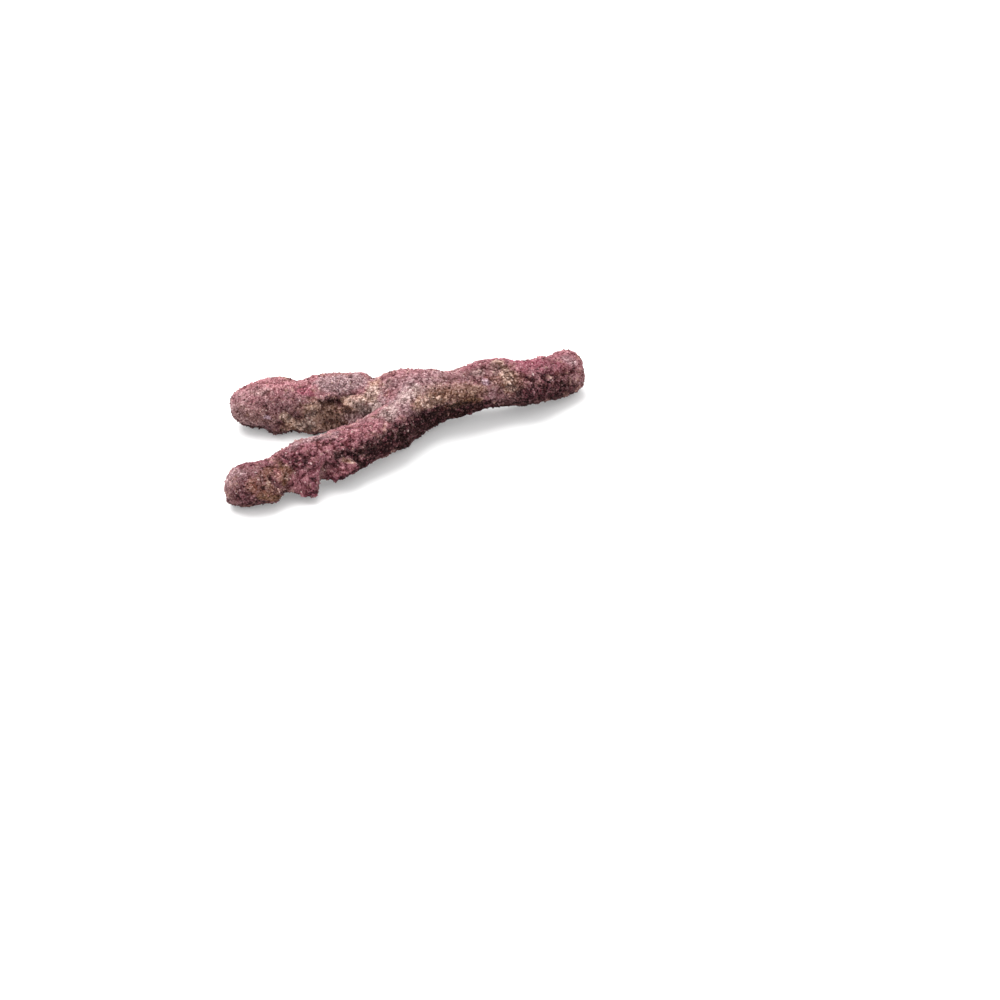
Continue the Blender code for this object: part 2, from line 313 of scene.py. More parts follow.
# Bumps on the crust: height, half width, and the run that the bump follows.
BUMPS = (
    (1.7, 3.2, ((-70, 18, 34), (-62, 21, 35), (-54, 22, 36))),
    (1.8, 3.0, ((-53, 19, 32), (-50, 19, 33))),
    (1.8, 5.0, ((-80, 14, 27), (-74, 15, 25))),
    (1.4, 4.0, ((-66, 17, 25), (-59, 18, 26))),
    (2.2, 4.5, ((-51, 18, 28), (-45, 19, 31), (-37, 17, 33))),
    (1.8, 4.0, ((-131, 14, 9), (-128, 14, 5))),
    (1.8, 4.5, ((-108, 9, 9), (-104, 9, 6))),
    (1.8, 4.5, ((-82, 11, 6), (-78, 11, 4))),
    (1.4, 4.0, ((-69, 14, 8), (-66, 15, 6))),
    (2.6, 4.5, ((-99, -81, 28), (-98, -82, 25))),
    (2.8, 8.0, ((-89, -82, 21), (-87, -81, 15), (-84, -81, 9))),
    (2.0, 6.0, ((-78, -82, 12), (-72, -83, 7))),
    (1.6, 5.0, ((-73, -80, 20), (-70, -77, 14))),
    (1.8, 3.0, ((-105, -94, 25), (-103, -93, 23))),
    (1.6, 3.0, ((-110, -98, 18), (-106, -97, 16))),
    (1.8, 3.0, ((-100, -90, 15), (-98, -90, 12))),
    (2.6, 6.5, ((-60, -65, 15), (-57, -65, 10))),
    (1.6, 4.5, ((-50, -65, 20), (-46, -65, 18))),
    (1.4, 3.5, ((-42, -62, 23), (-39, -60, 22))),
    (2.0, 5.0, ((-87, -73, 35), (-80, -71, 34))),
    (2.6, 5.0, ((-58, -62, 29), (-51, -61, 28))),
    (1.2, 4.0, ((12, 5, 37), (22, 10, 37))),
    (1.2, 4.0, ((33, 14, 37), (45, 18, 37), (56, 23, 36))),
    (1.4, 3.5, ((48, 18, 30), (60, 24, 27))),
    (1.8, 5.0, ((101, 36, 26), (104, 38, 30))),
    (1.8, 4.5, ((114, 43, 25), (116, 44, 24))),
    (1.8, 4.5, ((121, 50, 26), (123, 52, 27))),
    (1.8, 4.5, ((131, 60, 26), (133, 61, 25))),
    (1.6, 5.0, ((108, 46, 36), (112, 50, 37))),
    (1.2, 5.0, ((127, 66, 36), (130, 68, 35))),
    (1.2, 6.0, ((-20, -14, 42), (-10, -2, 44), (0, 8, 44))),
    (1.3, 5.0, ((-64, -52, 38), (-58, -48, 38))),
    (2.0, 6.0, ((-82, 51, 26), (-76, 52, 18))),
    (1.8, 6.0, ((56, 71, 30), (62, 73, 22))),
    (1.6, 5.0, ((8, 53, 34), (14, 54, 26))),
    (1.8, 6.0, ((-112, 48, 24), (-106, 48, 16))),
    (1.8, 5.0, ((-34, -6, 28), (-42, -14, 26))),
    (1.6, 5.0, ((106, 84, 22), (114, 90, 18))),
)

# Where the crust is eaten by many small pits: half width, how mottled it is, and run.
PITTED = (
    (8, 0.7, ((-80, 13, 20), (-62, 17, 24), (-50, 17, 24))),
    (7, 0.8, ((-90, 11, 8), (-74, 12, 8), (-56, 14, 12))),
    (8, 0.2, ((-95, -68, 37), (-78, -68, 34))),
    (8, 0.7, ((-110, -95, 24), (-102, -92, 20))),
    (9, 0.6, ((80, 38, 42), (100, 44, 38))),
    (9, 0.4, ((100, 44, 38), (125, 56, 32), (136, 68, 30))),
    (7, 0.0, ((-60, -60, 28), (-40, -58, 25))),
    (8, 0.4, ((12, 8, 36), (60, 24, 34))),
    (9, 0.8, ((78, 50, 49), (84, 39, 42), (90, 35, 32))),
    (8, 0.25, ((-30, -48, 26), (-6, -28, 26), (16, 0, 26), (44, 18, 22))),
    (8, 0.25, ((-44, -48, 37), (-56, -52, 38), (-68, -58, 38))),
)

# Where the crust is smoother than elsewhere: half width and run.
CALM = ((16, ((-138, 22, 30), (-104, 20, 32))), (13, ((-136, -86, 26), (-118, -90, 28))))

# Where each colour lies: colour, strength, how soft its edge is, and a run of stations.
# Many brown and plum patches are painted shade under the limbs, in creases and at the stem's end.
# Some pale and tan patches are painted light on lit ledges, and many of the last ones lighten or darken
# single spots, partly as painted light and shade.
PATCHES = (
    ("ochre", 0.8, 6, ((-66, 56, 24, 6), (-54, 57, 20, 6))),
    ("lavender", 0.8, 7, ((-90, 48, 30, 7), (-78, 50, 30, 7))),
    ("tan", 0.7, 5, ((30, 58, 30, 5), (46, 66, 26, 6))),
    ("lavender", 0.7, 7, ((66, 72, 32, 7), (84, 76, 28, 7))),
    ("ochre", 0.7, 6, ((-66, -28, 24, 6), (-82, -40, 22, 6))),
    ("plum", 0.6, 6, ((92, 80, 16, 8), (112, 92, 12, 8))),
    ("olive", 0.7, 6, ((-20, 48, 18, 9), (10, 52, 16, 9))),
    ("brown", 0.9, 7, ((0, -18, 28, 9), (11, -6, 26, 9), (27, 6, 24, 9), (43, 16, 22, 9))),
    ("brown", 0.9, 6, (
        (19, 3, 26, 8.5), (31, 14, 24, 9), (43, 18, 24, 8.5), (56, 26, 19, 8), (70, 29, 16, 7),
    )),
    ("brown", 0.95, 6, ((0, -16, 12, 13), (27, 8, 10, 13), (52, 24, 8, 13), (80, 34, 6, 11), (98, 42, 6, 9))),
    ("brown", 0.9, 7, (
        (0, -18, 27, 8), (-6, -28, 24, 10), (-16, -40, 21, 10), (-30, -51, 17, 9), (-46, -60, 9, 6),
    )),
    ("brown", 0.9, 7, (
        (7, -11, 28, 8.5), (-4, -26, 31, 8), (-16, -38, 30, 8.5), (-28, -47, 29, 8), (-40, -55, 27, 5),
    )),
    ("lavender", 0.6, 8, ((-142, 20, 17, 9), (-118, 11, 13, 9))),
    ("lavender", 0.6, 6, ((-144, 26, 32, 8), (-142, 18, 26, 8))),
    ("lavender", 0.5, 8, ((-140, 20, 28, 10), (-124, 16, 31, 11))),
    ("plum", 0.25, 5, ((-122, 10, 20, 5), (-108, 10, 26, 6))),
    ("rose", 0.5, 7, ((-136, 18, 30, 7), (-114, 10, 27, 6))),
    ("brown", 0.55, 4, ((-124, 15, 6, 4), (-110, 10, 6, 5), (-100, 10, 4, 4))),
    ("rose", 0.9, 8, ((-138, 26, 34, 12), (-112, 27, 43, 14))),
    ("lavender", 0.4, 7, ((-143, 20, 26, 7), (-130, 23, 38, 6), (-119, 22, 39, 5))),
    ("plum", 0.45, 5, ((-112, 12, 27, 6), (-105, 14, 33, 6), (-97, 14, 36, 6))),
    ("rose", 0.4, 5, ((-127, 22, 39, 4), (-117, 20, 39, 4))),
    ("pale", 0.25, 5, ((-127, 22, 39, 3), (-117, 20, 39, 4))),
    ("plum", 0.3, 4, ((-118, 10, 12, 5), (-108, 10, 11, 4))),
    ("rose", 0.95, 5, ((-92, 27, 44, 8), (-76, 31, 44, 9))),
    ("crimson", 0.8, 3, ((-86, 22, 40, 3), (-79, 22, 37, 3.5))),
    ("lavender", 0.9, 7, ((-66, 29, 42, 9), (-42, 32, 44, 10))),
    ("mauve", 0.6, 8, ((-140, 18, 22, 10), (-112, 10, 24, 11), (-90, 12, 24, 9))),
    ("ochre", 0.3, 8, ((-138, 16, 20, 8), (-116, 10, 20, 8))),
    ("ochre", 0.7, 5, ((-88, 11, 12, 6), (-74, 12, 16, 6))),
    ("tan", 0.6, 5, ((-92, 11, 10, 5), (-80, 11, 12, 6), (-62, 14, 12, 5))),
    ("tan", 0.6, 6, ((-100, 10, 10, 4), (-86, 11, 12, 6), (-76, 13, 24, 5), (-68, 17, 24, 4))),
    ("pale", 0.4, 5, ((-88, 11, 11, 5), (-82, 12, 14, 5))),
    ("pale", 0.6, 5, ((-80, 14, 26, 5), (-75, 15, 27, 5), (-69, 17, 25, 4))),
    ("brown", 0.6, 4, ((-70, 17, 15, 4), (-57, 15, 17, 4))),
    ("tan", 0.55, 5, ((-86, 12, 24, 4), (-72, 15, 23, 5), (-52, 16, 23, 4), (-44, 15, 24, 3))),
    ("brown", 0.3, 4, ((-65, 15, 12, 3), (-55, 14, 14, 4), (-47, 14, 17, 2))),
    ("lavender", 0.7, 4, ((-41, 16, 29, 3), (-33, 15, 27, 4), (-27, 13, 30, 5), (-22, 13, 34, 5))),
    ("plum", 0.4, 3, ((-91, 10, 26, 4), (-86, 11, 21, 3))),
    ("brown", 0.75, 4, ((-65, 18.5, 31, 2.5), (-61, 19, 30, 4), (-55, 20, 30, 3))),
    ("ochre", 0.6, 5, ((-66, 14, 13, 6), (-52, 15, 13, 5))),
    ("ochre", 0.8, 4, ((-84, 13, 27, 4), (-74, 15, 27, 6), (-62, 15, 24, 5))),
    ("tan", 0.95, 3, ((-79, 14, 28, 3), (-74, 15, 26, 3))),
    ("tan", 0.95, 3, ((-53, 19, 32, 3), (-50, 18, 29, 3.5), (-44, 19, 32, 5), (-36, 16, 34, 5))),
    ("tan", 0.7, 4, ((-52, 15, 24, 3), (-42, 14, 27, 4))),
    ("tan", 0.8, 5, ((-47, 14, 20, 4), (-40, 17, 32, 5), (-31, 17, 34, 5))),
    ("pale", 0.3, 6, ((-46, 19, 31, 4), (-38, 18, 33, 5), (-31, 17, 33, 5))),
    ("lavender", 0.4, 5, ((-48, 13, 18, 4), (-38, 15, 24, 5), (-30, 14, 30, 5))),
    ("pale", 0.4, 4, ((-48, 17, 29, 3), (-38, 15, 31, 4))),
    ("pale", 0.5, 5, ((-41, 16, 27, 4), (-33, 15, 25, 5), (-27, 13, 29, 5))),
    ("rose", 0.5, 4, ((-44, 20, 38, 4), (-36, 22, 40, 4))),
    ("tan", 1.0, 2.5, ((-102, 9, 22, 3.5), (-98, 9, 17, 3.5))),
    ("pale", 0.4, 2.5, ((-102, 9, 22, 3), (-98, 9, 18, 3))),
    ("lilac", 1.0, 1.2, ((-117, 9, 21, 1.8), (-114, 9, 20.5, 1.6))),
    ("lavender", 0.75, 6, ((-14, -15, 42, 8), (-6, -4, 43, 12), (4, 8, 44, 14))),
    ("mauve", 0.2, 6, ((-14, -16, 42, 7), (-8, -8, 43, 7))),
    ("pale", 0.35, 6, ((-24, -22, 41, 5), (-14, -16, 42, 7), (-14, -8, 43, 6))),
    ("plum", 0.6, 5, ((-6, -18, 38, 4), (-1, -16, 37, 5), (7, -3, 38, 5))),
    ("ochre", 0.8, 5, ((9, 12, 44, 5), (16, 17, 45, 5))),
    ("mauve", 0.5, 5, ((10, 13, 44, 5), (15, 16, 45, 4))),
    ("lavender", 0.4, 8, ((-8, 26, 50, 12), (20, 27, 48, 12))),
    ("pale", 0.4, 6, ((-2, 4, 44, 5), (8, 14, 45, 6))),
    ("tan", 0.8, 4, ((-32, 18, 37, 5), (-28, 25, 42, 4), (-28, 34, 44, 4))),
    ("pale", 0.5, 3, ((-31, 19, 37, 4), (-28, 26, 42, 3))),
    ("pale", 0.25, 5, ((-24, 22, 40, 4), (-17, 25, 46, 4))),
    ("rose", 0.55, 6, ((-16, 32, 50, 7), (4, 36, 51, 7))),
    ("magenta", 0.8, 6, ((-23, -28, 41, 8), (-44, -44, 39, 11), (-62, -54, 40, 11), (-92, -68, 38, 10))),
    ("rose", 0.6, 6, ((-26, -31, 41, 6), (-38, -38, 40, 6), (-46, -44, 39, 4))),
    ("rose", 0.5, 6, ((-78, -61, 40, 5), (-64, -57, 38, 5))),
    ("lavender", 0.6, 5, ((-88, -60, 40, 4), (-72, -48, 41, 5), (-56, -42, 41, 5))),
    ("magenta", 0.95, 4, ((-88, -81, 22, 5), (-80, -80, 20, 8), (-78, -81, 14, 9), (-74, -83, 7, 6))),
    ("magenta", 0.9, 4, ((-78, -72, 33, 5), (-66, -66, 30, 6), (-70, -78, 20, 6))),
    ("mauve", 0.9, 8, ((-124, -88, 32, 13), (-128, -98, 18, 12))),
    ("plum", 0.4, 7, ((-118, -88, 32, 12), (-120, -98, 18, 12))),
    ("plum", 0.3, 5, ((-112, -88, 33, 6), (-108, -94, 28, 6))),
    ("magenta", 0.6, 5, ((-134, -82, 34, 7), (-112, -74, 36, 7))),
    ("plum", 0.35, 8, ((-124, -96, 18, 12), (-108, -90, 14, 10))),
    ("rust", 0.6, 5, ((-118, -97, 26, 5), (-108, -90, 31, 5), (-104, -96, 16, 6))),
    ("rust", 0.6, 3, ((-116, -98, 24, 3), (-108, -98, 18, 4))),
    ("magenta", 0.85, 4, ((-96, -71, 36, 4), (-89, -74, 33, 5), (-84, -75, 30, 5))),
    ("brown", 0.35, 4, ((-112, -92, 29, 4), (-104, -88, 24, 4))),
    ("tan", 0.7, 2.5, ((-105, -86, 33, 2), (-105, -94, 25, 2.5))),
    ("olive", 0.8, 3, ((-110, -98, 16, 4), (-99, -92, 12, 3))),
    ("brown", 0.6, 4, ((-100, -71, 33, 0.5), (-95, -78, 30, 2.5), (-94, -82, 25, 2))),
    ("brown", 0.5, 4, ((-112, -84, 34, 2), (-105, -81, 32, 4))),
    ("olive", 0.8, 4, ((-95, -78, 30, 4), (-90, -80, 28, 5), (-92, -84, 22, 3))),
    ("brown", 0.6, 4, ((-106, -83, 31, 3), (-97, -79, 30, 3), (-90, -80, 28, 5), (-85, -74, 32, 3))),
    ("crimson", 0.8, 2.5, ((-99, -82, 29, 4), (-97, -83, 24, 3))),
    ("tan", 0.5, 2.5, ((-99, -82, 27, 3), (-98, -83, 25, 3))),
    ("olive", 0.75, 5, ((-102, -66, 35, 1), (-98, -75, 32, 2.5), (-95, -81, 26, 2.5), (-94, -84, 18, 2))),
    ("plum", 0.7, 3, ((-89, -74, 32, 3), (-79, -73, 32, 3))),
    ("magenta", 1.0, 4, ((-58, -66, 14, 7), (-42, -63, 18, 7))),
    ("rose", 0.8, 3, ((-59, -65, 17, 4), (-52, -66, 19, 4))),
    ("plum", 0.7, 3, ((-58, -65, 8, 4), (-47, -66, 12, 3), (-38, -62, 15, 3))),
    ("rose", 0.8, 5, ((-87, -80, 19, 5), (-84, -80, 11, 4))),
    ("rose", 0.5, 4, ((-79, -77, 25, 3), (-80, -82, 13, 4))),
    ("plum", 0.35, 4, ((-70, -77, 17, 4), (-72, -80, 10, 3))),
    ("rose", 0.8, 3, ((-50, -65, 20, 4), (-43, -64, 20, 3.5))),
    ("lavender", 0.5, 5, ((-138, -84, 30, 5), (-140, -90, 22, 5))),
    ("lavender", 0.6, 5, ((-136, -86, 34, 4), (-128, -88, 34, 5))),
    ("plum", 0.35, 6, ((-113, -78, 34, 6), (-104, -84, 30, 6), (-110, -95, 28, 5))),
    ("rust", 0.6, 4, ((-107, -83, 31, 4), (-100, -80, 31, 3), (-91, -79, 29, 3))),
    ("tan", 0.8, 2, ((-48, -61, 27, 2), (-41, -60, 25, 2.2))),
    ("brown", 0.95, 3.5, ((-52, -58, 31, 4), (-41, -56, 30, 3.5), (-32, -56, 20, 4))),
    ("brown", 0.4, 3, ((-62, -66, 18, 2), (-62, -66, 12, 2.5))),
    ("magenta", 0.8, 3, ((-61, -62, 27, 3), (-55, -62, 24, 3))),
    ("ochre", 0.55, 5, ((22, 19, 44, 5), (40, 22, 44, 5), (52, 26, 42, 4))),
    ("ochre", 0.9, 6, ((6, 4, 38, 5), (27, 14, 39, 7), (46, 20, 39, 6.5), (62, 26, 38, 5))),
    ("tan", 0.8, 4, ((10, 6, 40, 4), (21, 11, 38, 5), (28, 13, 38, 5))),
    ("pale", 0.3, 4, ((16, 8, 38, 4), (26, 12, 37, 4))),
    ("rose", 0.9, 8, ((48, 48, 52, 9), (76, 58, 50, 10), (104, 67, 43, 10), (132, 82, 38, 9))),
    ("magenta", 0.5, 9, ((56, 44, 50, 9), (84, 52, 46, 12), (110, 60, 40, 12), (138, 76, 32, 12))),
    ("crimson", 0.8, 4, ((66, 62, 47, 4), (84, 66, 46, 5), (96, 64, 43, 5), (108, 64, 42, 5))),
    ("lavender", 0.6, 4, ((132, 74, 38, 4), (140, 78, 34, 4))),
    ("lilac", 0.8, 2.5, ((63, 31, 42, 3.5), (68, 30, 43, 3))),
    ("tan", 0.8, 5, ((74, 50, 49, 5), (80, 42, 46, 6), (84, 37, 40, 7), (85, 34, 34, 5))),
    ("tan", 0.55, 7, ((72, 40, 46, 4), (88, 41, 43, 5), (93, 38, 35, 4))),
    ("pale", 0.35, 5, ((72, 49, 49, 4), (80, 42, 45, 5), (86, 36, 36, 5))),
    ("brown", 0.6, 4, ((84, 33, 21, 4), (92, 35, 21, 4))),
    ("ochre", 0.6, 5, ((70, 34, 41, 4), (76, 36, 38, 6))),
    ("mauve", 0.8, 6, ((32, 30, 46, 7), (60, 38, 48, 7), (72, 44, 47, 6))),
    ("crimson", 0.4, 6, ((94, 52, 44, 5), (112, 60, 40, 6), (128, 66, 35, 5))),
    ("plum", 0.3, 6, ((106, 60, 42, 5), (127, 67, 38, 5))),
    ("plum", 0.2, 5, ((94, 56, 44, 4), (112, 61, 41, 5))),
    ("plum", 0.85, 6, ((98, 36, 28, 6), (107, 39, 27, 8), (116, 46, 25, 8), (131, 59, 20, 7))),
    ("brown", 0.6, 5, ((102, 37, 18, 5), (108, 39, 19, 8), (119, 46, 19, 9), (136, 60, 14, 9))),
    ("plum", 0.25, 6, ((42, 30, 46, 6), (58, 33, 46, 6))),
    ("plum", 0.35, 5, ((88, 38, 33, 5), (100, 47, 40, 4), (112, 52, 37, 4), (124, 58, 31, 4))),
    ("plum", 0.5, 8, ((4, -16, 22, 6), (-8, -30, 24, 7), (-22, -44, 24, 7), (-34, -54, 18, 6))),
    ("plum", 0.35, 6, ((14, -4, 28, 4), (26, 10, 29, 4))),
    ("olive", 0.45, 5, ((44, 18, 38, 4), (55, 22, 38, 4))),
    ("olive", 0.65, 5, ((34, 14, 27, 4), (48, 19, 26, 5), (58, 24, 24, 4))),
    ("olive", 0.9, 3, ((47, 18, 31, 3), (60, 23, 28, 3.5))),
    ("pale", 0.35, 5, ((-84, 11, 11, 4), (-76, 14, 26, 4))),
    ("pale", 0.25, 4, ((57, 37, 47, 4), (60, 38, 47, 4))),
    ("plum", 0.2, 5, ((50, 26, 45, 4), (44, 24, 45, 3))),
    ("plum", 0.25, 5, ((-118, -99, 24, 4), (-105, -95, 21, 4))),
    ("plum", 0.25, 5, ((-113, 12, 28, 5), (-113, 16, 34, 4))),
    ("plum", 0.25, 5, ((-105, 11, 28, 5), (-105, 15, 35, 4))),
    ("plum", 0.25, 5, ((100, 40, 37, 4), (105, 42, 37, 4))),
    ("tan", 0.3, 5, ((-48, 18, 30, 4), (-44, 19, 32, 4))),
    ("brown", 0.3, 5, ((-40, -54, 25, 4), (-22, -40, 33, 4))),
    ("brown", 0.3, 5, ((98, 36, 22, 4), (106, 38, 21, 4))),
    ("plum", 0.2, 5, ((-108, -76, 34, 4), (-104, -76, 34, 4))),
    ("plum", 0.2, 6, ((-121, 11, 19, 5), (-113, 10, 11, 5))),
    ("mauve", 0.35, 5, ((13, 15, 44, 5), (13, 8, 39, 4))),
    ("mauve", 0.3, 5, ((-12, 14, 43, 4), (-7, 17, 43, 4))),
    ("rose", 0.3, 5, ((121, 56, 36, 4), (127, 60, 33, 4))),
    ("lavender", 0.5, 5, ((-49, 13, 17, 5), (-44, 13, 20, 4))),
    ("lavender", 0.35, 5, ((-74, -47, 40, 5), (-62, -46, 40, 5))),
    ("rose", 0.4, 5, ((-66, -64, 27, 4), (-60, -63, 26, 4))),
    ("rose", 0.35, 5, ((-46, -52, 34, 4), (-40, -50, 34, 4))),
    ("pale", 0.25, 5, ((-34, 14, 26, 5), (-28, 13, 27, 4))),
    ("lavender", 0.3, 6, ((-144, 18, 24, 5), (-136, 12, 18, 6))),
    ("lavender", 0.3, 5, ((70, 29, 34, 4), (75, 31, 34, 4))),
    ("plum", 0.2, 5, ((-92, -80, 28, 4), (-88, -79, 29, 4))),
    ("magenta", 0.6, 5, ((-80, -62, 41, 4), (-74, -60, 41, 4))),
)


def linear(colour):
    """A display colour as light: the curve of the standard screen undone."""
    colour = np.asarray(colour, float)
    return np.where(colour <= 0.04045, colour / 12.92, ((colour + 0.055) / 1.055) ** 2.4)


def colour_property(name, description, default):
    return bpy.props.FloatVectorProperty(
        name=name, description=description, default=default, subtype="COLOR_GAMMA", min=0, max=1
    )


def number_property(name, description, default, unit="NONE"):
    return bpy.props.FloatProperty(name=name, description=description, default=default, unit=unit)


def length_property(name, description, default):
    return bpy.props.FloatProperty(name=name, description=description, default=default, unit="LENGTH", min=0)


class ReefRockCrust(bpy.types.PropertyGroup):
    """Sizes of the crust on the limbs."""

    swell_spacing: length_property("Swell spacing", "Distance between the crust's gentle swells", 0.015)
    swell_height: length_property("Swell height", "How far the gentle swells stand out", 0.0016)
    scoop_depth: length_property("Scoop depth", "Depth of the worn places between them", 0.0011)
    lump_spacing: length_property("Lump spacing", "Distance between the crust's small lumps", 0.0042)
    lump_height: length_property("Lump height", "How far the small lumps stand out", 0.0008)
    grain_spacing: length_property("Grain spacing", "Distance between grains cemented into the crust", 0.0016)
    grain_height: length_property("Grain height", "How far those grains stand out", 0.0008)
    pit_spacing: length_property("Pit spacing", "Distance between the places where a pit may be", 0.0027)
    pit_depth: length_property("Pit depth", "Depth of the deepest pits", 0.0014)
    cleft_depth: length_property("Cleft depth", "Depth of the winding cracks in the pitted places", 0.0009)
    inset: length_property("Inset", "How far the crust's mean level lies inside the solid's surface", 0.0005)


class ReefRockGrains(bpy.types.PropertyGroup):
    """Sizes and number of the separate grains that stand on the crust."""

    smallest: length_property("Smallest", "Radius of the smallest grains", 0.0003)
    largest: length_property("Largest", "Radius of the largest grains", 0.00105)
    number: bpy.props.IntProperty(
        name="Number", description="Grains on each limb", default=6800, min=1, max=9500
    )
    seed: bpy.props.IntProperty(name="Seed", description="Changes where the grains lie", default=4, min=0)


class ReefRockColours(bpy.types.PropertyGroup):
    """Colours of the crust, as they show in soft light. Brown and plum also stand for painted shade, and pale
    and tan also for painted light on lit ledges.
    """

    rose: colour_property("Rose", "Encrusting algae on the lit tops", (0.655, 0.44, 0.465))
    crimson: colour_property("Crimson", "The most coloured algae, in streaks", (0.64, 0.36, 0.42))
    magenta: colour_property("Magenta", "Deeper algae of the front prong", (0.49, 0.285, 0.325))
    mauve: colour_property("Mauve", "The crust's usual colour", (0.50, 0.36, 0.365))
    lavender: colour_property("Lavender", "Dry grey algae over the fork", (0.635, 0.52, 0.532))
    lilac: colour_property("Lilac", "Small cool patches", (0.75, 0.635, 0.68))
    # Pale and tan also serve as painted light on lit ledges and specks.
    pale: colour_property("Pale", "Bare chalky skin and white specks", (0.84, 0.75, 0.72))
    tan: colour_property("Tan", "Bare stone on the ledges", (0.715, 0.575, 0.50))
    ochre: colour_property("Ochre", "Duller bare stone along the stem", (0.565, 0.435, 0.38))
    rust: colour_property("Rust", "Iron-stained stone round the scar", (0.55, 0.375, 0.30))
    olive: colour_property("Olive", "Stained bare stone", (0.45, 0.33, 0.25))
    brown: colour_property("Brown", "The shaded underside", (0.20, 0.10, 0.10))
    # Plum is also painted shade in the creases and at the stem's end, besides dark algae.
    plum: colour_property("Plum", "Dark algae in the creases and at the stem's end", (0.29, 0.125, 0.16))


class ReefRockStage(bpy.types.PropertyGroup):
    """The floor, the light and the camera."""

    floor_colour: colour_property("Floor", "Colour of the floor", (0.87, 0.87, 0.87))
    floor_glow: number_property("Floor glow", "Light the floor gives of its own", 0.2)
    floor_size: length_property("Floor size", "Side of the floor", 8.0)
    key_power: number_property("Key light", "Power of the main light", 245, "POWER")
    key_size: length_property("Key light size", "Side of the main light", 4.0)
    sky_strength: number_property("Surrounding light", "Strength of the even light", 1.2)
    lens: number_property("Lens", "Focal length in millimetres", 85)
    pitch: bpy.props.FloatProperty(
        name="Pitch", description="How far the camera looks down", default=math.radians(35), subtype="ANGLE"
    )


def scattered(cell, seed):
    """A value from 0 to 1 for each whole-number place: its numbers mixed by odd products and shifts."""
    x, y, z = cell.T.astype(np.uint32)
    mixed = x * np.uint32(374761393) + y * np.uint32(668265263) + z * np.uint32(2246822519)
    mixed = (mixed + np.uint32(seed * 7919)) * np.uint32(3266489917)
    mixed = (mixed ^ (mixed >> np.uint32(15))) * np.uint32(2654435761)
    return (mixed ^ (mixed >> np.uint32(13))).astype(float) / 2**32


def lattice_noise(points, seed):
    """Smooth noise from -1 to 1: scattered values on whole-number places, joined by fifth-power curves."""
    cell = np.floor(points).astype(np.int64)
    part = points - cell
    ease = part**3 * (part * (part * 6 - 15) + 10)
    total = np.zeros(len(points))
    for corner in np.ndindex(2, 2, 2):
        weight = np.prod(np.where(corner, ease, 1 - ease), axis=1)
        total += weight * scattered(cell + corner, seed)
    return 2 * total - 1


def noise(points, name):
    """The named noise at each point, from -1 to 1."""
    spacing, seed = NOISES[name]
    return lattice_noise(points / spacing, seed)


def drifted(points, name):
    """The points moved along each axis by a noise of its own, by up to the named drift's reach."""
    reach, spacing, seed = DRIFTS[name]
    return points + reach * np.stack([lattice_noise(points / spacing, seed + axis) for axis in range(3)], 1)


def nearest_centres(points, seed):
    """How far each point is from the nearest of scattered centres, one to a unit cell, and its value."""
    cell = np.floor(points).astype(np.int64)
    least = np.full(len(points), np.inf)
    nearest = cell
    for step in np.ndindex(3, 3, 3):
        home = cell + np.array(step) - 1
        shift = np.stack([scattered(home, seed + axis) for axis in range(3)], 1)
        gap = np.sum((home + shift - points) ** 2, axis=1)
        nearest = np.where((gap < least)[:, None], home, nearest)
        least = np.minimum(least, gap)
    return np.sqrt(least), scattered(nearest, seed + 3)


def smooth_step(low, high, amount):
    """0 below low, 1 above high, and a soft S between."""
    share = np.clip((amount - low) / (high - low), 0, 1)
    return share * share * (3 - 2 * share)


def smooth_union(first, second, width):
    """The lesser of two distances, rounded over the given width."""
    share = np.clip(0.5 + 0.5 * (second - first) / width, 0, 1)
    return second + (first - second) * share - width * share * (1 - share)


def smooth_path(stations):
    """A Catmull-Rom curve through the stations, radius included."""
    knots = np.array(stations, float)
    knots = np.vstack([2 * knots[0] - knots[1], knots, 2 * knots[-1] - knots[-2]])
    share = np.arange(SUBDIVISIONS)[:, None] / SUBDIVISIONS
    spans = []
    for before, start, end, after in zip(knots, knots[1:], knots[2:], knots[3:]):
        even = 2 * start + (end - before) * share
        bent = (2 * before - 5 * start + 4 * end - after) * share**2
        turned = (3 * start - before - 3 * end + after) * share**3
        spans.append(0.5 * (even + bent + turned))
    return np.vstack([*spans, knots[-2:-1]])


def run_distance(points, path):
    """Distance from each point to the round skin along a path whose radius varies."""
    nearest = np.full(len(points), np.inf)
    for start, end in zip(path, path[1:]):
        run = (end - start)[:3]
        share = np.clip((points - start[:3]) @ run / (run @ run), 0, 1)
        off = np.linalg.norm(points - start[:3] - share[:, None] * run, axis=1)
        nearest = np.minimum(nearest, off - start[3] - share * (end[3] - start[3]))
    return nearest


def rock_distance(points, paths):
    """The rock's field: limbs joined, knobs added, hollows taken away, ripples and swellings laid on."""
    field = None
    for path in paths.values():
        limb = run_distance(points, path)
        field = limb if field is None else smooth_union(field, limb, FORK_BLEND)
    for stations in KNOBS.values():
        field = smooth_union(field, run_distance(points, np.array(stations, float)), KNOB_BLEND)
    for stations in HOLLOWS.values():
        field = -smooth_union(-field, run_distance(points, np.array(stations, float)), HOLLOW_BLEND)
    for wavelength, height, seed in RIPPLES:
        field = field - height * lattice_noise(points / wavelength, seed)
    spacing, height, seed = LOBES
    first, _ = nearest_centres(points / spacing, seed)
    return field - height * (np.clip(1 - first**2, 0, 1) - 0.5)


def outward(points, paths):
    """The field's steepest way up at each point, from differences over a short step: the surface's normal."""
    here = rock_distance(points, paths)
    slope = np.stack([rock_distance(points + SLOPE_STEP * axis, paths) - here for axis in np.eye(3)], 1)
    return slope / np.linalg.norm(slope, axis=1, keepdims=True)


def carried_out(origins, directions, paths):
    """Where rays from inside the rock meet its surface, found by stepping as far as the field allows."""
    reach = np.zeros(len(origins))
    for _ in range(SEARCH_STEPS):
        reach -= FULLNESS * rock_distance(origins + reach[:, None] * directions, paths)
    return origins + reach[:, None] * directions


